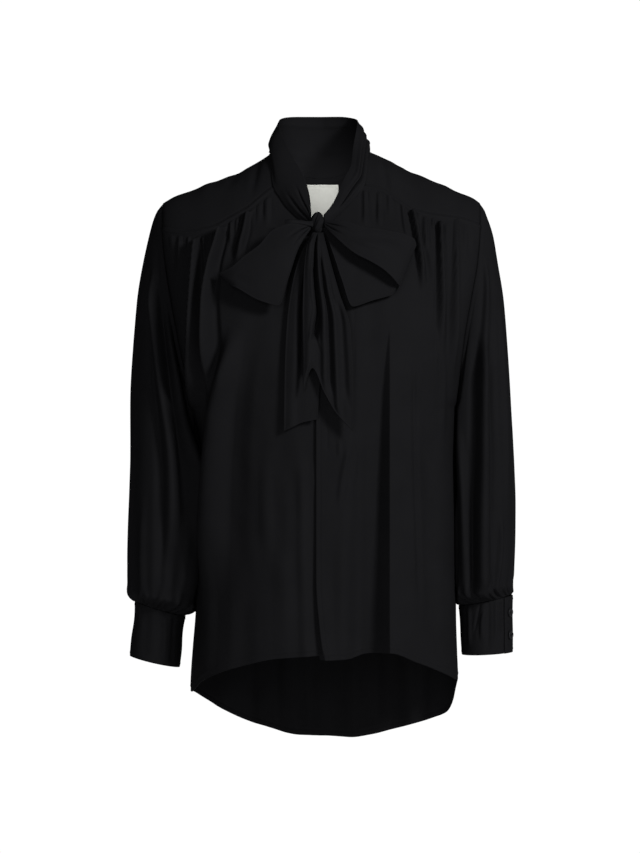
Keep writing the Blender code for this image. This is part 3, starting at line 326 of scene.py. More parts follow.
# On the sleeves "across" is the angle round from the outer line towards the front, in degrees.
SLEEVE_RIGHT_CREASES = (
    (((50, 150), (64, 210), (80, 300), (96, 420), (100, 560)), 7, 15, -14, 60, 110, -0.2),
    (((84, 200), (100, 290), (116, 378), (128, 430), (136, 560)), 7, 15, -13, 60, 110, -0.2),
    (((62, 250), (74, 340), (84, 400)), 4, 7, -2.6, 40, 70, 0),
    (((24, 330), (26, 480), (30, 600)), 9, 9, -3, 120, 10, 0),
    (((-4, 400), (2, 520), (6, 600)), 10, 11, 2.4, 120, 20, 0),
    (((56, 440), (54, 520), (56, 600)), 8, 8, -2.2, 70, 20, 0),
    (((88, 470), (84, 540), (80, 606)), 7, 8, 2.2, 60, 20, 0),
    (((122, 470), (112, 540), (104, 612)), 8, 8, -3.5, 60, 20, 0),
    (((128, 330), (126, 420), (124, 520), (122, 600)), 24, 26, -13, 110, 40, -0.2),
    (((300, 130), (284, 260), (262, 460)), 6, 14, -6.5, 50, 150, -0.3),
    (((252, 210), (240, 330), (228, 480)), 6, 12, -5.5, 60, 150, 0),
    (((322, 260), (312, 400), (300, 560)), 9, 12, -3.5, 90, 90, 0),
    (((262, 460), (258, 540), (254, 606)), 8, 9, -3.5, 60, 10, 0),
    (((210, 380), (206, 480), (200, 590)), 8, 10, -3, 60, 30, 0),
)
SLEEVE_LEFT_CREASES = (
    (((52, 128), (64, 200), (78, 290), (88, 344)), 5, 9, -5, 45, 80, 0.3),
    (((72, 230), (78, 320), (81, 420), (82, 520), (80, 600)), 8, 13, -18, 80, 40, 0.1),
    (((64, 250), (66, 380), (68, 560)), 5, 6, 2.8, 80, 80, 0),
    (((34, 190), (36, 330), (38, 500)), 6, 8, -3.2, 70, 150, 0),
    (((50, 478), (52, 530), (58, 590)), 3.5, 4.5, -4.2, 30, 16, 0),
    (((114, 360), (108, 440), (104, 520), (100, 596)), 7, 8, -6.5, 60, 20, -0.2),
    (((93, 400), (94, 500), (92, 580)), 5, 5, 2.4, 60, 20, 0),
    (((132, 440), (130, 520), (136, 590)), 6, 8, -4, 50, 20, 0),
    (((10, 380), (12, 480), (18, 590)), 8, 9, -2.6, 90, 20, 0),
    (((300, 130), (284, 260), (262, 460)), 6, 14, -6.5, 50, 150, -0.3),
    (((252, 210), (240, 330), (228, 480)), 6, 12, -5.5, 60, 150, 0),
    (((324, 250), (312, 400), (298, 560)), 9, 12, -3.5, 90, 90, 0),
    (((262, 460), (260, 540), (258, 600)), 8, 9, -3.5, 60, 10, 0),
)
# Gathers at the cuffs: angle, half width in degrees, depth, length, drift in degrees up their length.
GATHERS_RIGHT = (
    (26, 4.5, -2.6, 34, -2), (38, 3, -1.6, 20, 0), (51, 4, -3.4, 30, 3), (62, 3.6, -3.2, 34, 0),
    (71, 3, -1.6, 18, 2), (80.5, 4.2, -3.8, 40, 6), (93, 4, -2.4, 26, -2), (106, 5, -3, 34, 4),
    (121, 5, -3.2, 30, 0), (139, 5, -2.6, 28, 2), (158, 5.5, -3, 36, -3), (177, 5, -2.4, 26, 0),
    (196, 6, -3.2, 40, 4), (214, 5, -2.6, 28, 0), (231, 5.5, -3.2, 38, 3), (249, 5, -3, 30, -2),
    (268, 6, -3.4, 44, 0), (286, 5, -2.6, 28, 3), (304, 5.5, -3.2, 38, 0), (322, 5, -2.6, 30, -2),
    (341, 5.5, -3, 36, 2), (358, 4.5, -2.2, 24, 0), (11, 4.5, -2.6, 30, 1),
)
GATHERS_LEFT = (
    (68, 4, -3.6, 42, -4), (77, 3, -1.8, 20, 0), (86, 3.8, -3.4, 34, 1), (93.5, 3, -2, 18, 0), (101, 3.8, -3.6, 36, 0),
    (108, 3, -2, 22, 0), (114, 3.8, -3.6, 40, -2), (123, 3.4, -2.4, 24, 0), (133, 4.2, -3.6, 34, -3),
    (146, 4.2, -3.4, 30, 2), (160, 5, -2.8, 28, 0), (178, 5.5, -3, 36, 3), (197, 5, -2.6, 28, 0), (215, 6, -3.2, 40, 4),
    (234, 5, -2.6, 28, 0), (252, 5.5, -3.2, 40, -3), (271, 5, -3, 30, 0), (290, 6, -3.2, 42, 2), (308, 5, -2.6, 28, 0),
    (327, 5.5, -3, 36, 2), (346, 5, -2.6, 28, 0), (4, 5, -2.8, 34, 0), (22, 4.5, -2.4, 26, 2), (38, 4, -2.6, 30, 0),
    (54, 4, -2.8, 26, -1),
)

# Creases of the neck band, as (share round, share up) paths: half width in shares up, depth, rise and fade in shares.
BAND_CREASES = (
    (((0.66, 0.62), (0.76, 0.52), (0.86, 0.42), (0.97, 0.40)), 0.10, 0.07, -7.5, 0.06, 0.04, 0.3),
    (((0.68, 0.86), (0.80, 0.76), (0.93, 0.64)), 0.10, 0.08, 2.2, 0.05, 0.05, 0),
    (((0.0, 0.55), (0.04, 0.60), (0.08, 0.66)), 0.08, 0.06, -2.6, 0.01, 0.04, 0),
    (((0.0, 0.25), (0.04, 0.28), (0.09, 0.30)), 0.08, 0.08, -2.2, 0.01, 0.05, 0),
    (((0.10, 0.10), (0.18, 0.08), (0.28, 0.10)), 0.16, 0.16, -2.4, 0.05, 0.06, 0),
    (((0.34, 0.30), (0.48, 0.36), (0.62, 0.30)), 0.10, 0.10, -0.9, 0.06, 0.06, 0),
)


def curve(knots, values, at):
    """Cubic curve through the points (knots, values) that doesn't overshoot them, held level past the ends."""
    knots = np.asarray(knots, float)
    values = np.asarray(values, float)
    at = np.clip(np.asarray(at, float), knots[0], knots[-1])
    steps = np.diff(knots)
    slopes = np.diff(values) / steps
    tangents = np.zeros(len(knots))
    rising = slopes[:-1] * slopes[1:] > 0
    means = 2 * slopes[:-1] * slopes[1:] / np.where(rising, slopes[:-1] + slopes[1:], 1)
    tangents[1:-1] = np.where(rising, means, 0)
    tangents[0] = slopes[0]
    tangents[-1] = slopes[-1]
    i = np.clip(np.searchsorted(knots, at, side="right") - 1, 0, len(steps) - 1)
    t = (at - knots[i]) / steps[i]
    h = steps[i]
    return (
        values[i] * (1 + 2 * t) * (1 - t) ** 2
        + tangents[i] * h * t * (1 - t) ** 2
        + values[i + 1] * t * t * (3 - 2 * t)
        + tangents[i + 1] * h * t * t * (t - 1)
    )


def column(columns, rows, name):
    """The named column of a table, whole."""
    return [row[columns.index(name)] for row in rows]


def table(columns, rows, name, at, key="drop"):
    """The named column of a table at the height (or other key) asked for."""
    return curve(column(columns, rows, key), column(columns, rows, name), at)


def pairs(rows, at):
    """The second values of a table of pairs, at the first value asked for."""
    return curve([row[0] for row in rows], [row[1] for row in rows], at)


def ease(t):
    """0 below 0, 1 above 1, and smooth between."""
    t = np.clip(t, 0, 1)
    return t * t * (3 - 2 * t)


def bump(s):
    """1 in the middle, 0 at 1 and beyond."""
    return np.where(np.abs(s) < 1, 0.5 + 0.5 * np.cos(np.pi * np.clip(s, -1, 1)), 0)


def superellipse(s, power):
    """Height of a superellipse's quarter at the share s of its width."""
    return (1 - np.clip(np.abs(s), 0, 1) ** power) ** (1 / power)


def half_width(share, drop):
    """Half width of the body on the side that the share's sign names."""
    right = table(BODY_COLUMNS, BODY, "right", drop)
    left = table(BODY_COLUMNS, BODY, "left", drop)
    return np.where(share < 0, right, left)


def armhole_half_depth(drop):
    """Half the depth of the armhole at a drop: its loop is a superellipse."""
    return ARMHOLE_HALF_DEPTH * superellipse((drop - ARMHOLE_MIDDLE) / ARMHOLE_HALF, ARMHOLE_ROUNDNESS)


def side_depth(share, drop):
    """Half the gap between front and back at their edges.  At the edge it is the armhole's; inwards it soon turns
    into a smooth swell of the same size, so that the armpit leaves no line across the body."""
    smooth = ARMHOLE_HALF_DEPTH * np.exp(-(((drop - 195) / 115) ** 4))
    edge = np.abs(share) ** 9
    return smooth + (armhole_half_depth(drop) - smooth) * edge + SEAM_GAP / 2


def roundness(drop):
    """Exponent of the body's cross-section: flatter at the shoulders, rounder from the chest down."""
    return SHOULDER_ROUNDNESS + (BODY_ROUNDNESS - SHOULDER_ROUNDNESS) * ease((drop - 80) / 190)


def front_y(share, drop):
    """Depth of the front surface: a quarter superellipse from the middle of the front to the armhole or side seam."""
    end = SIDE_Y - side_depth(share, drop)
    middle = -table(BODY_COLUMNS, BODY, "front", drop)
    return end + (middle - end) * superellipse(share, roundness(drop))


def back_y(share, drop):
    """Depth of the back surface, as front_y."""
    end = SIDE_Y + side_depth(share, drop)
    middle = table(BODY_COLUMNS, BODY, "back", drop)
    return end + (middle - end) * superellipse(share, roundness(drop))


def body_points(share, drop, depth):
    """Points of the body's surface at shares of its half width: depth is front_y or back_y."""
    return np.stack([share * half_width(share, drop), depth(share, drop), -drop], axis=-1)


def creases(rows, across, down, scale=1.0):
    """Sum of the creases.  Each is a trough (or ridge) along its path: a raised cosine across it, with a low swell
    beside it on both sides, steeper on the side it leans to, rising in at its start and fading at its end."""
    total = np.zeros(np.broadcast(across, down).shape)
    for path, half0, half1, depth, rise, fall, lean in rows:
        start, end = path[0][1], path[-1][1]
        line = curve([p[1] for p in path], [p[0] for p in path], down)
        along = np.clip((down - start) / (end - start), 0, 1)
        half = half0 + (half1 - half0) * along
        s = (across - line) * scale / half
        s = s * (1 + lean * np.tanh(2.5 * s))
        swell = 0.16 * bump((np.abs(s) - 1.35) / 0.85)
        total += depth * (bump(s) - swell) * ease((down - start) / rise) * ease((end - down) / fall)
    return total


def strip_creases(rows, along, across):
    """As creases, for a strip of cloth: the paths are (along it, across it), and the widths are shares of its width."""
    turned = [([point[::-1] for point in path], *rest) for path, *rest in rows]
    return creases(turned, across, along)


def ripple(u, v, seed, amount):
    """A low, irregular unevenness: the sum of seven sine waves of seeded length, direction and phase."""
    chance = np.random.default_rng(seed)
    total = np.zeros(np.broadcast(u, v).shape)
    for i in range(7):
        length = chance.uniform(28, 90)
        slant = chance.uniform(-0.35, 0.35)
        total += np.sin(2 * np.pi * (u + slant * v) / length + chance.uniform(0, 6.3) + 0.7 * np.sin(v / 61 + i))
    return amount * total / 7


def normals(points, closed=False):
    """Unit normals of a grid of points, from the directions along its rows and columns."""
    if closed:
        along = np.roll(points, -1, axis=1) - np.roll(points, 1, axis=1)
    else:
        along = np.gradient(points, axis=1)
    down = np.gradient(points, axis=0)
    n = np.cross(along, down)
    return n / np.maximum(np.linalg.norm(n, axis=-1, keepdims=True), 1e-9)


def moved_out(points, distance, closed=False):
    """The grid moved along its normals by a distance for each point."""
    distance = np.broadcast_to(distance, points.shape[:2])
    return points + normals(points, closed) * distance[..., None]


def mesh_object(name, points, faces, finish):
    """An object whose mesh has these points (millimetres) and these quads or triangles, an array of one width."""
    points = np.ascontiguousarray(np.asarray(points, float).reshape(-1, 3) * MM, np.float32)
    faces = np.ascontiguousarray(faces, np.int32)
    count, width = faces.shape
    mesh = bpy.data.meshes.new(name)
    mesh.vertices.add(len(points))
    mesh.vertices.foreach_set("co", points.ravel())
    mesh.loops.add(count * width)
    mesh.loops.foreach_set("vertex_index", faces.ravel())
    mesh.polygons.add(count)
    mesh.polygons.foreach_set("loop_start", np.arange(0, count * width, width, dtype=np.int32))
    mesh.update(calc_edges=True)
    mesh.validate()
    mesh.materials.append(finish)
    mesh.shade_smooth()
    made = bpy.data.objects.new(name, mesh)
    bpy.context.scene.collection.objects.link(made)
    return made


def grid_faces(rows, columns, closed=False):
    """Quads (rows - 1, columns or columns - 1, 4) of a grid, as indices of its points."""
    across = columns if closed else columns - 1
    r, c = np.meshgrid(np.arange(rows - 1), np.arange(across), indexing="ij")
    after = (c + 1) % columns
    return np.stack([r * columns + c, r * columns + after, (r + 1) * columns + after, (r + 1) * columns + c], axis=-1)


def capped(grid):
    """The points and triangles of closed rings (rows, round) with each end closed by a fan to its middle point."""
    rows, count = grid.shape[:2]
    quads = grid_faces(rows, count, closed=True).reshape(-1, 4)
    first, after = np.arange(count), (np.arange(count) + 1) % count
    low, high = rows * count, rows * count + 1
    fans = [
        np.stack([np.full(count, low), after, first], axis=-1),
        np.stack([np.full(count, high), first + low - count, after + low - count], axis=-1),
    ]
    points = np.concatenate([grid.reshape(-1, 3), grid[0].mean(axis=0)[None], grid[-1].mean(axis=0)[None]])
    return points, np.concatenate([quads[:, [0, 1, 2]], quads[:, [0, 2, 3]], *fans])


def cloth(name, grid, wall, node, finish=None, closed=False, keep=None):
    """A wall of even thickness on a grid of points (rows, columns, 3), worn in place of a CAD node."""
    faces = grid_faces(*grid.shape[:2], closed=closed)
    faces = faces.reshape(-1, 4) if keep is None else faces[keep]
    used, index = np.unique(faces, return_inverse=True)
    made = mesh_object(name, grid.reshape(-1, 3)[used], index.reshape(-1, 4), finish or CREPE)
    solidify = made.modifiers.new("wall", "SOLIDIFY")
    solidify.thickness = wall * MM
    solidify.offset = 0
    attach(made, "root")
    if node:
        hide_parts(node)
    return made


# Finishes.  Constants sit on the shader's own sockets; only colour, roughness and bump come from nodes.


def finish_nodes(name):
    """A new material with its node tree, its shader and the Object coordinates that its patterns read."""
    made = bpy.data.materials.new(name)
    made.use_nodes = True
    tree = made.node_tree
    shader = tree.nodes["Principled BSDF"]
    place = tree.nodes.new("ShaderNodeTexCoord")
    return made, tree, shader, place.outputs["Object"]


def noise(tree, place, scale, detail, roughness=0.5, stretch=(1, 1, 1)):
    """Noise at a scale in cycles to the metre, stretched along the axes by a Mapping node."""
    mapping = tree.nodes.new("ShaderNodeMapping")
    mapping.inputs["Scale"].default_value = stretch
    tree.links.new(place, mapping.inputs["Vector"])
    made = tree.nodes.new("ShaderNodeTexNoise")
    made.inputs["Scale"].default_value = scale
    made.inputs["Detail"].default_value = detail
    made.inputs["Roughness"].default_value = roughness
    tree.links.new(mapping.outputs["Vector"], made.inputs["Vector"])
    return made.outputs["Fac"]


def ramp(tree, factor, *stops):
    """A colour ramp over (place, colour) stops."""
    made = tree.nodes.new("ShaderNodeValToRGB")
    made.color_ramp.elements[0].position, made.color_ramp.elements[0].color = stops[0][0], (*stops[0][1], 1)
    made.color_ramp.elements[1].position, made.color_ramp.elements[1].color = stops[-1][0], (*stops[-1][1], 1)
    for position, colour in stops[1:-1]:
        made.color_ramp.elements.new(position).color = (*colour, 1)
    tree.links.new(factor, made.inputs["Fac"])
    return made.outputs["Color"]


def spread(tree, factor, low, high):
    """A factor from 0 to 1 turned into a value from low to high."""
    made = tree.nodes.new("ShaderNodeMapRange")
    made.inputs["To Min"].default_value = low
    made.inputs["To Max"].default_value = high
    tree.links.new(factor, made.inputs["Value"])
    return made.outputs["Result"]


def raised(tree, shader, *layers):
    """Bump nodes one after another, each (height, strength, distance in metres), into the shader's normal."""
    before = None
    for height, strength, distance in layers:
        made = tree.nodes.new("ShaderNodeBump")
        made.inputs["Strength"].default_value = strength
        made.inputs["Distance"].default_value = distance
        tree.links.new(height, made.inputs["Height"])
        if before:
            tree.links.new(before, made.inputs["Normal"])
        before = made.outputs["Normal"]
    tree.links.new(before, shader.inputs["Normal"])


def crepe_finish():
    """Black crepe: a pebbled twist of fine yarns, faint long slubs, and a colour that varies a little over it."""
    made, tree, shader, place = finish_nodes("black_crepe_cloth")
    patches = noise(tree, place, 26, 4)
    tree.links.new(
        ramp(tree, patches, (0.3, (0.0090, 0.0090, 0.0099)), (0.7, (0.0099, 0.0099, 0.0109))),
        shader.inputs["Base Color"],
    )
    pebbles = noise(tree, place, 1150, 2, 0.6)
    yarns = noise(tree, place, 520, 2, 0.5, (1, 1, 0.28))
    soft = noise(tree, place, 60, 2)
    tree.links.new(spread(tree, pebbles, 0.58, 0.78), shader.inputs["Roughness"])
    raised(tree, shader, (soft, 0.07, 0.0012), (yarns, 0.14, 0.0004), (pebbles, 0.20, 0.0003))
    shader.inputs["Specular IOR Level"].default_value = 0.01
    shader.inputs["Sheen Weight"].default_value = 0.0
    return made


def satin_finish():
    """Off-white woven satin: fine ribs along its width, a little darker where it is soiled, and no lettering."""
    made, tree, shader, place = finish_nodes("label_satin_cloth")
    patches = noise(tree, place, 90, 3)
    tree.links.new(
        ramp(tree, patches, (0.25, (0.74, 0.745, 0.69)), (0.75, (0.81, 0.815, 0.76))), shader.inputs["Base Color"]
    )
    ribs = noise(tree, place, 420, 1, 0.5, (0.12, 1, 6))
    tree.links.new(spread(tree, ribs, 0.38, 0.52), shader.inputs["Roughness"])
    raised(tree, shader, (ribs, 0.25, 0.0002))
    shader.inputs["Specular IOR Level"].default_value = 0.35
    return made


def button_finish():
    """Polished black resin with faint cloudy streaks and fine handling marks."""
    made, tree, shader, place = finish_nodes("button_black_resin")
    streaks = noise(tree, place, 300, 3, 0.6, (1, 1, 2.5))
    tree.links.new(
        ramp(tree, streaks, (0.35, (0.006, 0.006, 0.007)), (0.7, (0.016, 0.016, 0.018))), shader.inputs["Base Color"]
    )
    marks = noise(tree, place, 2200, 2)
    tree.links.new(spread(tree, marks, 0.30, 0.46), shader.inputs["Roughness"])
    raised(tree, shader, (marks, 0.05, 0.0001))
    shader.inputs["Specular IOR Level"].default_value = 0.15
    return made


CREPE = crepe_finish()
SATIN = satin_finish()
RESIN = button_finish()


# Fronts, back and yoke


def closer(low, high, count, places=(), reach=6.0, more=2.5):
    """Numbers from low to high, closer together around the places: the inverse of a density's running sum."""
    fine = np.linspace(low, high, 4000)
    density = np.ones_like(fine)
    for place in places:
        density += more * np.exp(-(((fine - place) / reach) ** 2))
    run = np.concatenate([[0], np.cumsum((density[1:] + density[:-1]) / 2)])
    return np.interp(np.linspace(0, run[-1], count), run, fine)


def front_top(share):
    """Drop of the fronts' top edge, the neckline and the yoke's seam, at a share of the half width."""
    return np.where(share < 0, pairs(TOP_EDGE_RIGHT, -share), pairs(TOP_EDGE_LEFT, share))


def front_hem(share):
    """Drop of the fronts' hem."""
    return np.where(share < 0, pairs(HEM_FRONT_RIGHT, -share), pairs(HEM_FRONT_LEFT, share))


def back_hem(share):
    """Drop of the back's hem."""
    return np.where(share < 0, pairs(HEM_BACK_RIGHT, -share), pairs(HEM_BACK_LEFT, share))


def back_top(share):
    """Drop of the back's top edge at the yoke's seam."""
    return pairs(BACK_SEAM, np.abs(share))


def hem_relief(to_edge, width):
    """A hem turned up once: the cloth stands a little proud below its stitch line, which draws in a narrow groove."""
    return 0.35 * ease((width - to_edge) / 1.6) - 0.45 * bump((to_edge - width - 0.6) / 1.8)


def panel(shares, parts, top, hem, depth, rows, outward, seed, hem_width):
    """A front or back.  Its points lie on the body's surface at (share across, part of the way down to the hem), and
    move along the normals by the creases, a low unevenness and the hem; the top edge tucks in under the yoke."""
    share, part = np.meshgrid(shares, parts)
    lap = SEAM_LAP * ease(np.abs(share) / 0.3) if outward > 0 else SEAM_LAP
    start = top(share) - lap
    drop = start + part * (hem(share) - start)
    points = body_points(share, drop, depth)
    amount = creases(rows, points[..., 0], drop)
    calm = ease((drop - top(share)) / 60)
    amount = amount + ripple(points[..., 0], drop, seed, 1.1) * calm
    amount = amount + hem_relief(hem(share) - drop, hem_width)
    tuck = ease((top(share) + 1.5 - drop) / 2.5) * (lap > 0.4)
    amount = amount * (1 - tuck) - 0.9 * tuck
    return moved_out(points, outward * amount), drop


def front_right():
    """The under front: as a panel, sinking behind the other front from the opening edge inwards."""
    high = UNDERLAP_WIDTH / float(half_width(1, 300))
    shares = closer(-1, high, 132, (-0.8, -0.7, -0.6, -0.5, -0.02), 0.06, 0.8)
    parts = closer(0, 1, 205, (0, 0.05, 1), 0.05, 3)
    points, drop = panel(shares, parts, front_top, front_hem, front_y, FRONT_RIGHT_CREASES, 1, 11, HEM_WIDTH)
    under = ease((points[..., 0] - pairs(OPENING_EDGE, drop) + UNDERLAP_EASE) / UNDERLAP_EASE)
    points[..., 1] += UNDERLAP_DEPTH * under
    peek = bump((drop - PEEK_DROP) / 34) * bump((points[..., 0] + 8) / 12)  # swells out under the tie's ends
    points[..., 1] -= 1.6 * peek
    made = cloth("front_right_cloth", points, CLOTH, "front_right")


DRAPE_EDGE = 89.5  # the big drape's sharp edge, and its foot and height at each drop
DRAPE = ((240, 88.5, 0), (285, 82, 6), (331, 77, 12), (390, 74, 17), (451, 71, 21), (541, 66, 26), (647, 61, 31),
         (700, 59, 32))


def drape(x, drop):
    """The big drape below the bow: from its foot the cloth rises steeply to a sharp edge, and it sinks and falls
    away slowly on the two sides."""
    drops = [row[0] for row in DRAPE]
    foot = curve(drops, [row[1] for row in DRAPE], drop)
    height = curve(drops, [row[2] for row in DRAPE], drop)
    t = np.clip((x - foot) / (DRAPE_EDGE - foot), 0, 1)
    flank = np.where(t < 0.4, t * t / 0.8, t - 0.2) / 0.8
    low = -0.55 * bump((foot - x) / 44)
    high = 0.45 * bump((x - DRAPE_EDGE) / 62)
    return height * np.where(x < foot, low, np.where(x > DRAPE_EDGE, high, flank - 0.55))


def front_left():
    """The top front, with the placket: a folded edge, a stitch line along the inner edge of the hidden button strip,
    and a short bar of stitches that closes its lower end."""
    shares = closer(-0.01, 1, 150, (0.02, 0.44, 0.49, 0.51, 0.7), 0.03, 2.2)
    parts = closer(0, 1, 205, (0, 0.05, 1), 0.05, 3)
    points, drop = panel(shares, parts, front_top, front_hem, front_y, FRONT_LEFT_CREASES, 1, 23, HEM_WIDTH)
    points[..., 1] -= drape(points[..., 0], drop)
    edge = pairs(OPENING_EDGE, drop)
    near = ease(1 - (points[..., 0] - points[:, :1, 0]) / 40)
    points[..., 0] += near * (edge - points[:, :1, 0])
    from_edge = points[..., 0] - edge
    lift = ease((drop - 520) / 140) * ease(1 - from_edge / 30)
    points[..., 1] -= 4 * lift
    x = points[..., 0]
    stitch = x - PLACKET_STITCH
    shown, ended = ease((drop - PLACKET_TOP) / 30), ease((drop - PLACKET_END) / 40)
    relief = -0.75 * bump(stitch / 1.9) * shown * (1 - 0.75 * ended)
    relief += 0.5 * ease(1 - (stitch + 1.5) / 3) * shown * (1 - ended)
    relief -= 0.8 * bump((x - 9.2) / 1.5) * ease((drop - PLACKET_END + 52) / 10) * ease((PLACKET_END + 1 - drop) / 3)
    relief -= 0.8 * bump((drop - PLACKET_END + 1) / 1.9) * ease((x - 8) / 2) * ease((17 - x) / 3)
    relief += 0.4 * ease(1 - from_edge / 3.5) - 0.3 * bump((from_edge - 5.5) / 1.6)
    points[..., 1] -= relief
    made = cloth("front_left_cloth", points, CLOTH, "front_left")


def back():
    """The back: as a panel, facing the other way."""
    shares = closer(-1, 1, 176)
    parts = closer(0, 1, 190, (0, 0.05, 1), 0.05, 3)
    points, _ = panel(shares, parts, back_top, back_hem, back_y, BACK_CREASES, -1, 37, HEM_WIDTH)
    made = cloth("back_cloth", points, CLOTH, "back")


def shoulder(side, x):
    """Drop of the shoulder line at a distance from the middle."""
    return pairs(SHOULDER_RIGHT if side == "right" else SHOULDER_LEFT, x)


def arch(start, middle, end, t):
    """Quadratic curve from start to end, drawn towards the middle point."""
    t = t[:, None, None] if np.ndim(t) else t
    return (1 - t) ** 2 * start + 2 * t * (1 - t) * middle + t * t * end


def yoke_strip(side, top, along):
    """Front seam of the yoke's strip under the shoulder points, and the points its arch is drawn towards."""
    sign = -1 if side == "right" else 1
    neck_share = YOKE_NECK_SHARE[side]
    across = sign * (neck_share + (1 - neck_share) * along)
    front_drop = front_top(across) - SEAM_GAP / 2
    front = body_points(across, front_drop, front_y)
    slope = (front_y(across, front_drop + 5) - front_y(across, front_drop - 5)) / 10
    middle_y = np.minimum(front[:, 1] - slope * (front_drop + top[:, 2]), top[:, 1] - 8)
    middle = np.stack([(top[:, 0] + front[:, 0]) / 2, middle_y, top[:, 2]], axis=-1)
    return middle, front


def back_yoke_curves(x_shares):
    """Top and seam points of the yoke's back part at shares of the half width, and the middle points between."""
    right_neck, left_neck = SHOULDER_RIGHT[0][0], SHOULDER_LEFT[0][0]
    side_width = half_width(x_shares, ARMHOLE_TOP) - SEAM_GAP / 2
    x = x_shares * side_width
    neck = np.where(x_shares < 0, right_neck, left_neck)
    inside = np.abs(x) <= neck
    neck_drop = pairs(BACK_NECK, np.abs(x) / neck)
    neck_y = SHOULDER_NECK_Y + (NECK_BACK_Y - SHOULDER_NECK_Y) * superellipse(x / neck, NECK_ROUNDNESS)
    line_drop = np.where(x_shares < 0, shoulder("right", np.abs(x)), shoulder("left", np.abs(x)))
    line_share = (np.abs(x) - neck) / (side_width - neck)
    line_y = SHOULDER_NECK_Y + (SIDE_Y - SHOULDER_NECK_Y) * line_share
    top_drop = np.where(inside, neck_drop, line_drop)
    top_y = np.where(inside, neck_y, line_y)
    top = np.stack([x, top_y, -top_drop], axis=-1)
    seam_drop = back_top(x_shares) - SEAM_GAP / 2
    seam = body_points(x_shares, seam_drop, back_y)
    slope = (back_y(x_shares, seam_drop + 5) - back_y(x_shares, seam_drop - 5)) / 10
    fall = 0.35 * bump(x / (1.35 * neck))
    middle_y = seam[:, 1] - slope * (seam_drop - top_drop) * (1 - fall)
    middle_y = np.maximum(middle_y, top_y + 6)
    middle_z = -(top_drop + fall * (seam_drop - top_drop))
    middle = np.stack([(x + seam[:, 0]) / 2, middle_y, middle_z], axis=-1)
    return top, middle, seam


NECK_COLUMNS = 15
SEAM_PARTS = np.linspace(0, 1, 52)


def yoke_shares():
    """Shares across the yoke's back part, from the right armhole to the left, and the two columns at the neck."""
    sides = {}
    for side, sign, line in (("right", -1.0, SHOULDER_RIGHT), ("left", 1.0, SHOULDER_LEFT)):
        neck, tip = line[0][0], float(half_width(sign, ARMHOLE_TOP)) - SEAM_GAP / 2
        outer = neck + (tip - neck) * SEAM_PARTS
        inner = neck * (1 - np.linspace(0, 1, NECK_COLUMNS)[1:-1] ** 1.6)[::-1]
        sides[side] = sign * np.concatenate([inner, outer]) / tip
    shares = np.concatenate([sides["right"][::-1], [0], sides["left"]])
    return shares, len(SEAM_PARTS) - 1, len(shares) - len(SEAM_PARTS)


def yoke():
    """One piece over both shoulders.  From the shoulder line, arches run forward and back to the seams, whose edges
    are turned under: the last few millimetres stand proud and a stitch line draws them in."""
    shares, neck_from, neck_to = yoke_shares()
    top, middle, seam = back_yoke_curves(shares)
    back_rows = closer(0, 1, 58, (1,), 0.12, 3)
    front_rows = closer(0.03, 1, 46, (1,), 0.12, 3)[::-1]
    back_part = arch(top, middle, seam, back_rows)
    front_part = np.zeros((len(front_rows), len(shares), 3))
    for side, index, along in (
        ("right", slice(0, neck_from + 1), SEAM_PARTS[::-1]),
        ("left", slice(neck_to, len(shares)), SEAM_PARTS),
    ):
        front_middle, front = yoke_strip(side, top[index], along)
        front_part[:, index] = arch(top[index], front_middle, front, front_rows)
    grid = np.concatenate([front_part, back_part])
    grid[:len(front_rows), neck_from + 1:neck_to] = back_part[0, neck_from + 1:neck_to]
    step = np.linalg.norm(np.diff(grid, axis=0), axis=-1)
    run = np.concatenate([np.zeros((1, len(shares))), np.cumsum(step, axis=0)])
    to_seam = np.minimum(run, run[-1] - run)
    relief = 0.75 * ease((7 - to_seam) / 6) - 0.5 * bump((to_seam - 6.5) / 1.7)
    x, y = grid[..., 0], grid[..., 1]
    drag = creases(YOKE_CREASES, x, y) * ease(to_seam / 12)
    relief = relief + drag + ripple(x, y * 1.3, 51, 0.9) * ease(to_seam / 25)
    row, column_at = np.arange(len(grid))[:, None], np.arange(len(shares))
    in_neck = (row < len(front_rows)) & (column_at > neck_from) & (column_at < neck_to)
    grid = moved_out(grid, np.where(in_neck, 0, relief))
    r, c = np.meshgrid(np.arange(len(grid) - 1), np.arange(len(shares) - 1), indexing="ij")
    keep = (r >= len(front_rows)) | (c < neck_from) | (c >= neck_to)
    made = cloth("yoke_cloth", grid, CLOTH, "yoke", keep=keep)


# Soft drags on the yoke, as (x, y) paths read along y from the front seam to the back one.
YOKE_CREASES = (
    (((-88, -60), (-84, -30), (-80, 0)), 7, 9, -2.2, 20, 30, 0),
    (((-120, -44), (-112, -10), (-104, 30)), 12, 14, -1.6, 24, 40, 0),
    (((-150, -38), (-150, 0), (-146, 40)), 12, 16, 1.2, 24, 40, 0),
    (((88, -60), (84, -30), (80, 0)), 6, 8, -2.6, 16, 30, 0),
    (((104, -52), (98, -20), (92, 10)), 6, 9, 1.5, 20, 30, 0),
    (((126, -44), (122, -10), (114, 30)), 12, 14, -1.4, 24, 40, 0),
    (((168, -36), (166, 0), (160, 40)), 12, 16, 1.2, 24, 40, 0),
)


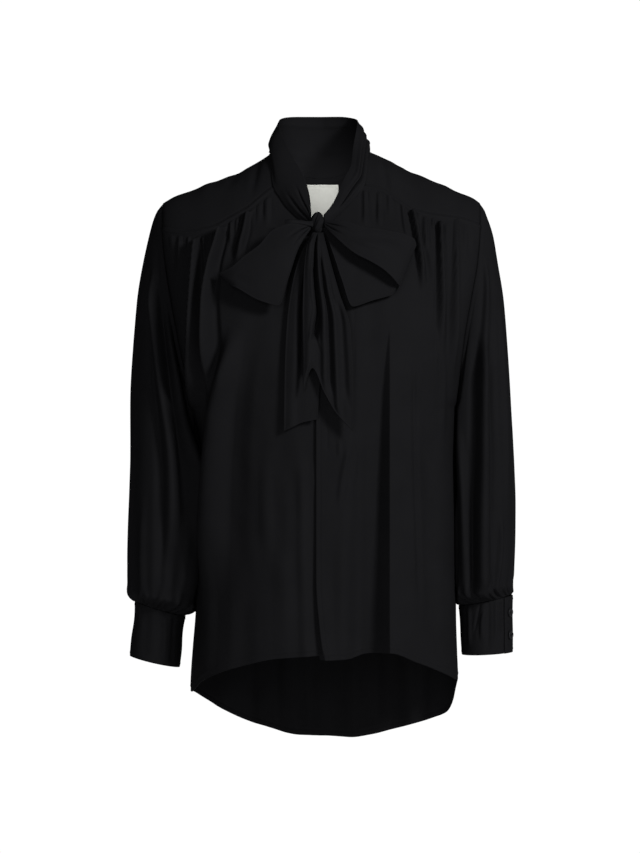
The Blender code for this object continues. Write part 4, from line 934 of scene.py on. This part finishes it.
def inner_label():
    """The neck label: the inside of the yoke's back part, moved in, with a turned edge and a stitch line round it."""
    shares = yoke_shares()[0]
    lines = arch(*back_yoke_curves(shares), np.linspace(0, 1, 40))
    x = np.linspace(LABEL_MIDDLE_X - LABEL_HALF_WIDTH, LABEL_MIDDLE_X + LABEL_HALF_WIDTH, 60)
    drops = np.linspace(LABEL_TOP, LABEL_BOTTOM, 46)
    near = np.abs(lines[0, :, 0]) < 45
    sheet_lines = lines[:, near]
    y = np.stack([np.interp(drops, -sheet_lines[:, k, 2], sheet_lines[:, k, 1]) for k in range(near.sum())])
    order = sheet_lines[0, :, 0]
    depth = np.stack([np.interp(x, order, y[:, k]) for k in range(len(drops))])
    grid = np.stack([np.broadcast_to(x, depth.shape), depth, np.broadcast_to(-drops[:, None], depth.shape)], axis=-1)
    edge = np.minimum(
        LABEL_HALF_WIDTH - np.abs(grid[..., 0] - LABEL_MIDDLE_X),
        np.minimum(LABEL_BOTTOM + grid[..., 2], -LABEL_TOP - grid[..., 2]),
    )
    relief = 0.25 * ease(1 - edge / 3) - 0.3 * bump((edge - 3.2) / 1.1) + ripple(grid[..., 0], grid[..., 2], 61, 0.3)
    grid[..., 1] -= CLOTH / 2 + LABEL_GAP + relief
    made = cloth("neck_label_satin", grid, LABEL_WALL, "neck_label", finish=SATIN)


# Sleeves and cuffs


def armhole(side, angle):
    """Point of the armhole's loop.  Angle 0 is the shoulder tip, 90 degrees the front, 180 the armpit."""
    power = 2 / ARMHOLE_ROUNDNESS
    cos, sin = np.cos(angle), np.sin(angle)
    drop = ARMHOLE_MIDDLE - ARMHOLE_HALF * np.sign(cos) * np.abs(cos) ** power
    y = SIDE_Y - ARMHOLE_HALF_DEPTH * np.sign(sin) * np.abs(sin) ** power
    x = half_width(-1.0 if side == "right" else 1.0, drop)
    return x, y, drop


def body_side(sign, y, drop, clearance):
    """How far out the body's side lies at a depth y, for a body that is larger all round by the clearance."""
    end = armhole_half_depth(drop)
    front_reach = SIDE_Y - end + table(BODY_COLUMNS, BODY, "front", drop) + clearance
    back_reach = table(BODY_COLUMNS, BODY, "back", drop) - SIDE_Y - end + clearance
    past = np.maximum((SIDE_Y - end - y) / front_reach, (y - SIDE_Y - end) / back_reach)
    return (half_width(float(sign), drop) + clearance) * superellipse(np.clip(past, 0, 1), roundness(drop))


def larger(a, b, softness):
    """The larger of two lengths, rounded off where they are within the softness of each other."""
    near = (a + b) / 2 + (a - b) ** 2 / (4 * softness) + softness / 4
    return np.where(np.abs(a - b) < softness, near, np.maximum(a, b))


def cuff_ring(side, angle, part):
    """Point of a cuff at the angle round it and the share of its height: an ellipse on a sloping plane, drawn in a
    little at its waist."""
    rims = CUFF_RIGHT if side == "right" else CUFF_LEFT
    x, drop, half_w, half_d, slope = [
        rims[0][i] + (rims[1][i] - rims[0][i]) * part for i in range(len(CUFF_COLUMNS))
    ]
    waist = (1.8 if side == "right" else 0.6) * bump((part - 0.3) / 0.45)
    out = (half_w - waist) * np.cos(angle)
    return x + out, CUFF_Y - (half_d - waist) * np.sin(angle), drop - slope * out


def gathers(rows, degrees, up):
    """Gathers at a cuff: each a trough at its angle, drifting up its length, deepest 6 mm above the seam."""
    total = np.zeros(degrees.shape)
    for angle, half, depth, length, drift in rows:
        off = (degrees - angle - drift * up / length + 180) % 360 - 180
        width = half * (1 + 0.9 * np.clip(up / length, 0, 1))
        total += depth * (bump(off / width) - 0.25 * bump((np.abs(off / width) - 1.4) / 0.8)) * ease(1 - up / length)
    return total * ease(up / 4)


HEAD_TUCK = 2.0  # the sleeve's head reaches this far in under the edge of the yoke, front and back
HEAD_DEPTH = 0.975  # its depth as a share of the armhole's
SLEEVE_RADIUS = 50  # mean radii, which turn degrees round into millimetres
CUFF_RADIUS = 33


def sleeve(side):
    """Lines run from the armhole down to the cuff: the armhole's loop eases into an elliptical tube, which is drawn in
    to the cuff over its last stretch.  Creases and gathers move it along its normals."""
    sign = -1 if side == "right" else 1
    angle, part = np.meshgrid(
        np.linspace(0, 2 * np.pi, 168, endpoint=False), closer(0, 1, 150, (1, 0.97, 0.93), 0.03, 2.5)
    )
    hole_x, hole_y, hole_drop = armhole(side, angle)
    hole_y = SIDE_Y + (hole_y - SIDE_Y) * HEAD_DEPTH
    end_x, end_y, end_drop = cuff_ring(side, angle, 0.0)
    end_drop = end_drop - SEAM_GAP / 2
    drop = hole_drop + part * (end_drop - hole_drop)
    from_hole = drop - hole_drop

    def tube(at):
        outer = table(SLEEVE_COLUMNS, SLEEVES, side, at)
        middle, half = (outer + SLEEVE_INNER) / 2, (outer - SLEEVE_INNER) / 2
        depth = table(SLEEVE_COLUMNS, SLEEVES, "half_depth", at)
        y = table(SLEEVE_COLUMNS, SLEEVES, "middle_y", at) - depth * np.sin(angle)
        return middle + half * np.cos(angle), y

    x, y = tube(drop)
    hole_tube_x, hole_tube_y = tube(hole_drop)
    near_hole = np.clip(1 - from_hole / ARMHOLE_EASE, 0, 1) ** 2
    seam = SLEEVE_SEAM[0] + (SLEEVE_SEAM[1] - SLEEVE_SEAM[0]) * (1 - np.cos(angle)) / 2
    x = x + (hole_x + seam - hole_tube_x) * near_hole
    y = y + (hole_y - hole_tube_y) * near_hole
    near_cuff = ease(1 - (end_drop - drop) / CUFF_EASE) ** 1.5
    x = x + (end_x - x) * near_cuff
    y = y + (end_y - y) * near_cuff

    clearance = seam + np.clip(0.3 * from_hole, 0, SLEEVE_CLEARANCE - seam)
    x = larger(x, body_side(sign, y, drop, clearance), 4.0)
    x = x - (seam + HEAD_TUCK) * np.clip(1 - from_hole / 8, 0, 1)

    points = np.stack([sign * x, y, -drop], axis=-1)
    degrees = np.degrees(angle)
    rows = SLEEVE_RIGHT_CREASES if side == "right" else SLEEVE_LEFT_CREASES
    round_mm = SLEEVE_RADIUS * math.pi / 180
    away = ease(from_hole / 60)
    amount = creases(rows, degrees, drop, scale=round_mm) * away
    amount = amount + gathers(GATHERS_RIGHT if side == "right" else GATHERS_LEFT, degrees, end_drop - drop)
    amount = amount + ripple(degrees * round_mm, drop, 71 if side == "right" else 83, 1.0) * away
    amount = amount - 0.35 * bump((from_hole - 3) / 2.5)
    points = moved_out(points, amount * (-sign), closed=True)
    made = cloth(f"sleeve_{side}_cloth", points, CLOTH, f"sleeve_{side}", closed=True)


def cuff_points(side, angle, part):
    """A cuff's points: the band goes once round and laps over its own start at the closure."""
    sign = -1 if side == "right" else 1
    travel = angle - math.radians(CUFF_CLOSURE[side])
    lap = CUFF_LAP * ease((travel - math.radians(360 - 1.5 * CUFF_OVERLAP)) / math.radians(1.2 * CUFF_OVERLAP))
    x, y, drop = cuff_ring(side, angle, part)
    middle_x = cuff_ring(side, math.pi / 2, part)[0]
    reach = np.hypot(x - middle_x, y - CUFF_Y)
    x = middle_x + (x - middle_x) * (1 + lap / reach)
    y = CUFF_Y + (y - CUFF_Y) * (1 + lap / reach)
    return np.stack([sign * x, y, -drop], axis=-1)


# Dents and ridges of the cuffs, as (degrees round, share down) paths.
CUFF_RIGHT_CREASES = (
    (((62, 0.0), (66, 0.5), (70, 1.0)), 16, 18, 1.0, 0.1, 0.2, 0),
    (((104, 0.05), (110, 0.5), (112, 0.95)), 8, 10, -1.4, 0.2, 0.3, 0),
    (((128, 0.0), (130, 0.5), (132, 1.0)), 8, 10, 1.0, 0.1, 0.2, 0),
    (((40, 0.0), (38, 0.4)), 6, 8, -0.8, 0.05, 0.3, 0),
)
CUFF_LEFT_CREASES = (
    (((104, 0.0), (112, 0.25), (122, 0.62)), 4.5, 6, 2.0, 0.06, 0.3, 0.3),
    (((96, 0.12), (102, 0.4), (104, 0.8)), 6, 9, -2.2, 0.12, 0.3, 0.3),
    (((132, 0.0), (134, 0.4), (136, 0.9)), 7, 9, -1.6, 0.1, 0.3, 0),
    (((86, 0.0), (87, 0.5), (92, 1.0)), 7, 9, 1.4, 0.05, 0.3, 0),
    (((70, 0.0), (70, 0.4), (74, 0.9)), 6, 7, -1.8, 0.05, 0.4, 0),
    (((58, 0.02), (56, 0.4), (58, 0.8)), 5, 6, 1.8, 0.1, 0.3, 0),
)


def cuff(side):
    """The cuff's band on (degrees round, share down), with an edge stitch all round, dents, and folded edges."""
    start = CUFF_CLOSURE[side]
    end = start + 360 + CUFF_OVERLAP
    turn = closer(start, end, 236, (start, end), 5, 2)
    parts = closer(0.006, 1, 44, (0, 1), 0.06, 2)
    angle, part = np.meshgrid(np.radians(turn), parts)
    points = cuff_points(side, angle, part)
    degrees = np.degrees(angle)
    rows = CUFF_RIGHT_CREASES if side == "right" else CUFF_LEFT_CREASES
    round_mm = CUFF_RADIUS * math.pi / 180
    amount = creases(rows, degrees % 360, part)
    edge = np.minimum(part, 1 - part) * CUFF_HEIGHT
    edge = np.minimum(edge, np.minimum(degrees - start, end - degrees) * round_mm)
    amount = amount - 0.4 * bump((edge - 4.5) / 1.4) + 0.2 * ease(1 - edge / 3.5)
    amount = amount + ripple(degrees * round_mm, part * CUFF_HEIGHT, 91, 0.5)
    points = moved_out(points, amount * (-1 if side == "left" else 1))
    made = cloth(f"cuff_{side}_cloth", points, DOUBLE_CLOTH, f"cuff_{side}")


def button(side, number, share):
    """A round button with a raised rim, a dished middle and four thread holes: a profile carried round its axis, with
    a dimple at each hole, and two crossed threads."""
    sign = -1 if side == "right" else 1
    at = math.radians(CUFF_CLOSURE[side] + 360 + CUFF_OVERLAP * 0.35)
    step = 0.02
    centre = cuff_points(side, np.array(at), share)
    along = cuff_points(side, np.array(at + step), share) - centre
    down = cuff_points(side, np.array(at), share + step) - centre
    out = np.cross(along, down)
    out = -sign * out / np.linalg.norm(out)
    if np.dot(out[:2], centre[:2] - np.array([sign * cuff_ring(side, math.pi / 2, share)[0], CUFF_Y])) < 0:
        out = -out
    along = along / np.linalg.norm(along)
    up = np.cross(out, along)
    lift = DOUBLE_CLOTH / 2 + 0.5
    profile = np.array(((0.1, 0), (0.86, 0), (0.97, 0.12), (1.0, 0.4), (0.99, 0.72), (0.93, 0.94), (0.84, 1.0),
                        (0.76, 0.95), (0.7, 0.82), (0.62, 0.72), (0.5, 0.7), (0.4, 0.7), (0.3, 0.7), (0.2, 0.7),
                        (0.1, 0.7)))
    turn = np.linspace(0, 2 * np.pi, 40, endpoint=False)
    radius = BUTTON_RADIUS * profile[:, :1]
    u, v = radius * np.cos(turn), radius * np.sin(turn)
    height = np.broadcast_to(BUTTON_THICKNESS * profile[:, 1:], u.shape).copy()
    hole = np.hypot(np.abs(u) - 0.95, np.abs(v) - 0.95)
    front = np.arange(len(profile))[:, None] > 8  # rows of the profile inside the rim
    height -= np.where(front, 0.9 * bump(hole / 0.75), 0)
    grid = centre + out * (lift + height[..., None]) + u[..., None] * along + v[..., None] * up
    made = mesh_object(f"button_{side}_{number}", *capped(grid), RESIN)
    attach(made, "root")
    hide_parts(f"cuff_button_{side}_{number}")
    place = np.linspace(-1, 1, 9)[:, None]
    round_turn = np.linspace(0, 2 * np.pi, 8, endpoint=False)
    threads = []
    for slant in (1, -1):
        line = centre + out * (lift + BUTTON_THICKNESS * 0.72 + 0.28 * (1 - place ** 2)[..., None])[:, 0]
        line = line + 1.0 * place * along + slant * 1.0 * place * up
        side_way = (along * slant - up) / math.sqrt(2)
        ring = 0.26 * (np.cos(round_turn)[None, :, None] * side_way - np.sin(round_turn)[None, :, None] * out)
        threads.append(capped(line[:, None] + ring))
    points = np.concatenate([tube_points for tube_points, _ in threads])
    faces = np.concatenate([threads[0][1], threads[1][1] + len(threads[0][0])])
    thread = mesh_object(f"button_{side}_{number}_thread", points, faces, CREPE)
    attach(thread, "root")


# Neck band, bow and tails


def neckline():
    """Points of the neckline, once round from the middle of the front by the wearer's right, with the direction
    that leads away from the neck along the cloth and the cloth's normal."""
    front_shares = np.linspace(0, 1, 24)
    lines = []
    for side, sign in (("right", -1), ("left", 1)):
        share = sign * YOKE_NECK_SHARE[side] * front_shares
        ahead = body_points(share, front_top(share) + 6, front_y)
        edge = body_points(share, front_top(share), front_y)
        shares, neck_from, neck_to = yoke_shares()
        columns = [neck_from, neck_from - 4] if side == "right" else [neck_to, neck_to + 4]
        top = back_yoke_curves(shares)[0][columns]
        middle, front = yoke_strip(side, top, SEAM_PARTS[[0, 4]])
        strip = arch(top, middle, front, np.linspace(1, 0, 20))
        lines.append((np.concatenate([edge, strip[1:, 0]]), np.concatenate([ahead, strip[1:, 1]])))
    top, middle, seam = back_yoke_curves(shares[neck_from + 1:neck_to])
    back_part = arch(top, middle, seam, np.array([0, 0.06]))
    first = np.concatenate([lines[0][0], back_part[0], lines[1][0][::-1]])
    second = np.concatenate([lines[0][1], back_part[1], lines[1][1][::-1]])
    away = second - first
    away /= np.linalg.norm(away, axis=-1, keepdims=True)
    out = np.cross(np.gradient(first, axis=0), away)
    out /= np.linalg.norm(out, axis=-1, keepdims=True)
    return first, away, out


def neck_band():
    """The standing band on (share round the neck, share up): a ruled strip from the neckline to the upper edge,
    rounded outwards, with creases towards the knot and a soft roll along its folded top edge."""
    edge, away, out = neckline()
    turn = np.degrees(np.arctan2(-edge[:, 0], -edge[:, 1])) % 360
    order = np.argsort(turn)
    at = np.linspace(BAND[0][0], BAND[-1][0], 260)
    edge, away, out = (
        np.stack([np.interp(at, turn[order], field[order, k]) for k in range(3)], axis=-1)
        for field in (edge, away, out)
    )
    soft = np.array([0.06, 0.12, 0.2, 0.24, 0.2, 0.12, 0.06])
    padded = [np.concatenate([f[:3][::-1], f, f[-3:][::-1]]) for f in (edge, away, out)]
    edge, away, out = (
        np.stack([np.convolve(f[:, k], soft, mode="valid") for k in range(3)], axis=-1) for f in padded
    )
    high = np.stack([table(BAND_COLUMNS, BAND, name, at, "turn") for name in ("x", "y", "z")], axis=-1)
    rise = (high - edge) / np.linalg.norm(high - edge, axis=-1, keepdims=True)
    flat = 1 - np.abs(np.sum(rise * out, axis=-1, keepdims=True))
    low = edge + away * BAND_LAP + out * (CLOTH / 2 + 1.0 + DOUBLE_CLOTH / 2 * flat)
    for end, turn_in in ((BAND_END_RIGHT, at - BAND[0][0]), (BAND_END_LEFT, BAND[-1][0] - at)):
        low = low + ease(1 - turn_in / BAND_END_TURN)[:, None] * (np.array(end) - low)
    across = closer(0, 1, 44, (0, 1), 0.1, 1.5)
    grid = low[None] + across[:, None, None] * (high - low)[None]
    outward = grid * (1, 1, 0)
    outward /= np.linalg.norm(outward, axis=-1, keepdims=True)
    share = np.linspace(0, 1, len(at))[None]
    up = across[:, None]
    amount = table(BAND_COLUMNS, BAND, "bulge", at, "turn")[None] * np.sin(np.pi * across)[:, None]
    amount = amount + strip_creases(BAND_CREASES, share, up)
    back_roll = bump((share - 0.5) / 0.3)
    amount = amount + back_roll * (1.3 * ease((up - 0.86) / 0.1) - 1.0 * bump((up - 0.84) / 0.05))
    patch = ease((share - 0.505) / 0.03) * ease((0.63 - share) / 0.04)
    amount = amount - 0.9 * patch * ease((up - 0.80) / 0.04)
    amount = amount + ripple(share * 420, up * 60, 101, 0.8) * ease(up / 0.15)
    made = cloth("neck_band_cloth", grid + outward * amount[..., None], DOUBLE_CLOTH, "neck_band")


def chest(x, z, lift):
    """A point that stands lift in front of the blouse's front."""
    share = x / half_width(x, -z)
    return np.stack([x, front_y(share, -z) - lift, z], axis=-1)


# Creases of the bow's loops, as (share along from the knot, share across from the top edge) paths.
LOOP_RIGHT_CREASES = (
    (((0.0, 0.45), (0.06, 0.40), (0.14, 0.36)), 0.10, 0.08, -2.2, 0.02, 0.09, 0),
    (((0.0, 0.75), (0.05, 0.70), (0.12, 0.66)), 0.10, 0.08, -1.8, 0.02, 0.08, 0),
    (((0.30, 0.55), (0.38, 0.52), (0.47, 0.45)), 0.24, 0.28, -1.4, 0.10, 0.08, 0),
)
LOOP_LEFT_CREASES = (
    (((0.0, 0.40), (0.06, 0.36), (0.15, 0.34)), 0.10, 0.12, -2.2, 0.02, 0.10, 0),
    (((0.0, 0.72), (0.06, 0.70), (0.12, 0.66)), 0.10, 0.10, -2.2, 0.02, 0.08, 0),
    (((0.12, 0.56), (0.22, 0.52), (0.34, 0.50)), 0.14, 0.18, 1.8, 0.08, 0.12, 0),
    (((0.20, 0.20), (0.30, 0.24), (0.42, 0.30)), 0.12, 0.14, -1.2, 0.08, 0.10, 0),
)


def loop(side):
    """A bow loop: the tie goes out from the knot, turns at the far end and comes back behind itself.  Its two edges
    are curves through the table, joined straight across, with creases that run out from the knot."""
    rows = LOOP_RIGHT if side == "right" else LOOP_LEFT
    stations = np.linspace(0, 1, len(rows))
    at = closer(0, 1, 190, (0.5,), 0.08, 1.5)
    value = {name: curve(stations, column(LOOP_COLUMNS, rows, name), at) for name in LOOP_COLUMNS}
    across = closer(0, 1, 44, (0, 1), 0.08, 1.5)[:, None]
    x = value["top_x"] + across * (value["low_x"] - value["top_x"])
    z = value["top_z"] + across * (value["low_z"] - value["top_z"])
    lift = value["top_lift"] + across * (value["low_lift"] - value["top_lift"])
    lift = lift + 3 * np.sin(np.pi * across) * np.where(at < 0.5, np.sin(2 * np.pi * at), 0)
    lift = lift + strip_creases(LOOP_RIGHT_CREASES if side == "right" else LOOP_LEFT_CREASES, at[None], across)
    span = np.hypot(value["top_x"] - value["low_x"], value["top_z"] - value["low_z"])
    edge = np.minimum(across, 1 - across) * span
    lift = lift + 0.5 * ease(1 - edge / 3) + ripple(at[None] * 260, across * 60, 113 if side == "right" else 127, 0.7)
    made = cloth(f"bow_loop_{side}_cloth", chest(x, z, lift), DOUBLE_CLOTH, f"bow_loop_{side}")


# Pleats of the tails, as (share down, share across) paths, with half widths in shares of the tail's width.
TAIL_RIGHT_CREASES = (
    (((0.02, 0.55), (0.12, 0.50), (0.30, 0.42), (0.55, 0.46), (0.85, 0.50)), 0.12, 0.16, -7, 0.1, 0.2, 0),
    (((0.08, 0.97), (0.45, 0.96), (0.84, 0.95)), 0.30, 0.34, -4, 0.08, 0.12, 0),
    (((0.05, 0.20), (0.30, 0.16), (0.70, 0.20), (1.0, 0.22)), 0.14, 0.20, 1.6, 0.1, 0.01, 0),
)
TAIL_LEFT_CREASES = (
    (((0.0, 0.42), (0.15, 0.38), (0.30, 0.31), (0.45, 0.29), (0.55, 0.31), (0.70, 0.24), (0.80, 0.20)), 0.09, 0.07, -9,
     0.06, 0.06, -0.2),
    (((0.0, 0.18), (0.20, 0.16), (0.45, 0.15), (0.70, 0.12), (0.98, 0.10)), 0.16, 0.12, 3.2, 0.06, 0.05, 0),
    (((0.05, 0.55), (0.25, 0.46), (0.55, 0.43), (1.0, 0.42)), 0.10, 0.08, 3.0, 0.08, 0.10, 0),
    (((0.12, 0.62), (0.35, 0.56), (0.60, 0.54), (0.95, 0.56)), 0.08, 0.09, -3.4, 0.08, 0.10, 0),
    (((0.20, 0.72), (0.40, 0.66), (0.70, 0.66), (1.0, 0.70)), 0.07, 0.09, 3.2, 0.10, 0.05, 0),
    (((0.34, 0.86), (0.50, 0.82), (0.75, 0.83), (0.92, 0.86)), 0.10, 0.12, -3.4, 0.12, 0.12, 0),
)


def tail(side):
    """A hanging tie end with lengthwise pleats and a slanting end; its seamed edges stand a little proud."""
    rows, ends, pleats = (
        (TAIL_RIGHT, TAIL_RIGHT_ENDS, TAIL_RIGHT_CREASES)
        if side == "right"
        else (TAIL_LEFT, TAIL_LEFT_ENDS, TAIL_LEFT_CREASES)
    )
    across = closer(0, 1, 96, (0, 0.28, 0.5, 0.7, 1), 0.06, 0.8)
    part = closer(0, 1, 150, (0, 1), 0.05, 1.5)[:, None]
    low, high, lift = (table(TAIL_COLUMNS, rows, name, part, "share") for name in ("right_x", "left_x", "lift"))
    x = low + across * (high - low)
    top = TAIL_TOPS[side]
    z = -(top + part * (pairs(ends, across) - top))
    lift = lift + strip_creases(pleats, part, across)
    edge = np.minimum(np.minimum(across, 1 - across) * (high - low), (1 - part) * 240)
    lift = lift + 0.35 * ease(1 - edge / 2.5) + ripple(x, z, 131 if side == "right" else 137, 0.9) * ease(part / 0.2)
    made = cloth(f"tie_tail_{side}_cloth", chest(x, z, lift), DOUBLE_CLOTH, f"tie_tail_{side}")


def knot():
    """The wrapped knot: an upright egg on (tilt, turn) whose radius swells along slanting turns of cloth, with finer
    pleats that run round with them and a dimple where the tails leave it."""
    tilt, turn = np.meshgrid(np.linspace(0.05, math.pi - 0.05, 70), np.linspace(0, 2 * np.pi, 96, endpoint=False),
                             indexing="ij")
    wind = KNOT_TWISTS * turn + 2.2 * tilt
    swell = 1 + KNOT_TWIST_DEPTH * np.cos(wind) * np.sin(tilt)
    swell += 0.05 * np.cos(3 * wind + 1.3 * tilt + 0.6) * np.sin(tilt)
    swell -= 0.24 * bump((wind % (2 * np.pi) - math.pi) / 0.8) * np.sin(tilt)
    swell += 0.06 * np.sin(2 * turn + 1.1 - 3 * tilt) * np.sin(tilt)
    unit = np.stack([np.sin(tilt) * np.cos(turn) * swell, np.sin(tilt) * np.sin(turn) * swell, np.cos(tilt)], axis=-1)
    grid = np.array(KNOT_MIDDLE) + np.array(KNOT_HALF) * unit
    points, faces = capped(grid)
    made = mesh_object("knot_cloth", points, faces[:, ::-1], CREPE)
    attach(made, "root")
    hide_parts("bow_knot")


# A corner of the tie that peeps out beside the knot: (x, drop, lift, half height) from the knot outwards.
WING = ((-9, 104.5, 18, 3.4), (-17, 104, 21, 2.4), (-26, 102.6, 24, 3.2), (-36, 102.4, 25, 4.6), (-45, 103.6, 22, 5.6))


def wing():
    """The peeping corner: a flattened, twisted tube along its line, open at its outer end."""
    at = np.linspace(0, 1, 60)[:, None]
    turn = np.linspace(0, 2 * np.pi, 48, endpoint=False)
    stations = np.linspace(0, 1, len(WING))
    x, drop, lift, half = (curve(stations, [row[k] for row in WING], at) for k in range(4))
    twist = 0.5 + 1.5 * at
    pinch = 1 + 0.16 * np.cos(3 * turn + 5 * at)
    up = half * pinch * np.cos(turn)
    off = (0.55 + 0.1 * at) * half * pinch * np.sin(turn)
    grid = chest(x + 0 * turn, -(drop - up * np.cos(twist * 0.4) + 0.3 * off), lift + off + 0.25 * up)
    cloth("knot_wing_cloth", grid, DOUBLE_CLOTH, None, closed=True)


# Studio


CAMERA_DISTANCE = 3.2  # metres, as all of the studio
CAMERA_Z = -0.365
VIEW_HEIGHT = 1.1345  # what the picture shows from top to bottom, at the origin
SENSOR = 36
FLOOR_Z = -1.45


def camera():
    """Level with the middle of the blouse and square to its front."""
    made = bpy.data.cameras.new("camera")
    made.sensor_fit = "VERTICAL"
    made.sensor_height = SENSOR
    made.lens = SENSOR * CAMERA_DISTANCE / VIEW_HEIGHT
    placed = bpy.data.objects.new("camera", made)
    placed.location = (0, -CAMERA_DISTANCE, CAMERA_Z)
    placed.rotation_euler = (math.pi / 2, 0, 0)
    bpy.context.scene.collection.objects.link(placed)
    bpy.context.scene.camera = placed


def lamp(name, place, aim, size, watts, spread_angle=180):
    """A rectangular lamp that the camera doesn't see, turned from its place towards the point aimed at."""
    made = bpy.data.lights.new(name, "AREA")
    made.shape = "RECTANGLE"
    made.size, made.size_y = size
    made.energy = watts
    made.spread = math.radians(spread_angle)
    placed = bpy.data.objects.new(name, made)
    x, y, z = (aim[i] - place[i] for i in range(3))
    placed.location = place
    placed.rotation_euler = (math.pi / 2 + math.atan2(z, math.hypot(x, y)), 0, math.atan2(-x, y))
    placed.visible_camera = False
    bpy.context.scene.collection.objects.link(placed)


def studio():
    """A white backdrop all round that lights the blouse only a little, a pale floor well below, and four lights:
    a broad one high on the wearer's left, a weaker one from the front, a tiny one inside the neck opening that lights
    the label, and one from behind."""
    world = bpy.data.worlds.new("white_room")
    world.use_nodes = True
    tree = world.node_tree
    dim = tree.nodes["Background"]
    dim.inputs["Color"].default_value = (1, 1, 1, 1)
    dim.inputs["Strength"].default_value = 0.08
    white = tree.nodes.new("ShaderNodeBackground")
    white.inputs["Strength"].default_value = 1.02
    white.inputs["Color"].default_value = (1, 1, 1, 1)
    path = tree.nodes.new("ShaderNodeLightPath")
    mix = tree.nodes.new("ShaderNodeMixShader")
    tree.links.new(path.outputs["Is Camera Ray"], mix.inputs["Fac"])
    tree.links.new(dim.outputs["Background"], mix.inputs[1])
    tree.links.new(white.outputs["Background"], mix.inputs[2])
    tree.links.new(mix.outputs["Shader"], tree.nodes["World Output"].inputs["Surface"])
    bpy.context.scene.world = world
    bpy.context.scene.view_settings.view_transform = "Standard"
    turn = np.linspace(0, 2 * np.pi, 96, endpoint=False)
    rings = np.array([0.01, 1.0, 2.6])[:, None]
    disc = np.stack([rings * np.cos(turn), rings * np.sin(turn), np.full((3, 96), FLOOR_Z)], axis=-1) / MM
    pale, tree, shader, place = finish_nodes("floor_paint")
    cloudy = noise(tree, place, 3, 2)
    greys = ramp(tree, cloudy, (0.3, (0.82, 0.82, 0.82)), (0.7, (0.86, 0.86, 0.86)))
    tree.links.new(greys, shader.inputs["Base Color"])
    shader.inputs["Roughness"].default_value = 0.8
    points, faces = capped(disc)
    floor = mesh_object("floor", points[:-1], faces[:-len(turn)], pale)
    lamp("key", (2.0, -2.35, 1.05), (0, 0, -0.35), (0.7, 0.8), 84)
    lamp("front", (-0.5, -3.1, 0.0), (0, 0, -0.4), (0.9, 1.0), 20)
    lamp("neck", (-0.004, -0.03, -0.045), (-0.004, 0.06, -0.056), (0.05, 0.02), 0.03, 110)
    lamp("back", (0, 3.1, 0.25), (0, 0, -0.35), (0.5, 0.8), 34)


camera()
studio()
yoke()
front_right()
front_left()
back()
inner_label()
neck_band()
knot()
wing()
for side in ("right", "left"):
    sleeve(side)
    cuff(side)
    loop(side)
    tail(side)
    for number, share in enumerate(BUTTON_SHARES, start=1):
        button(side, number, share)
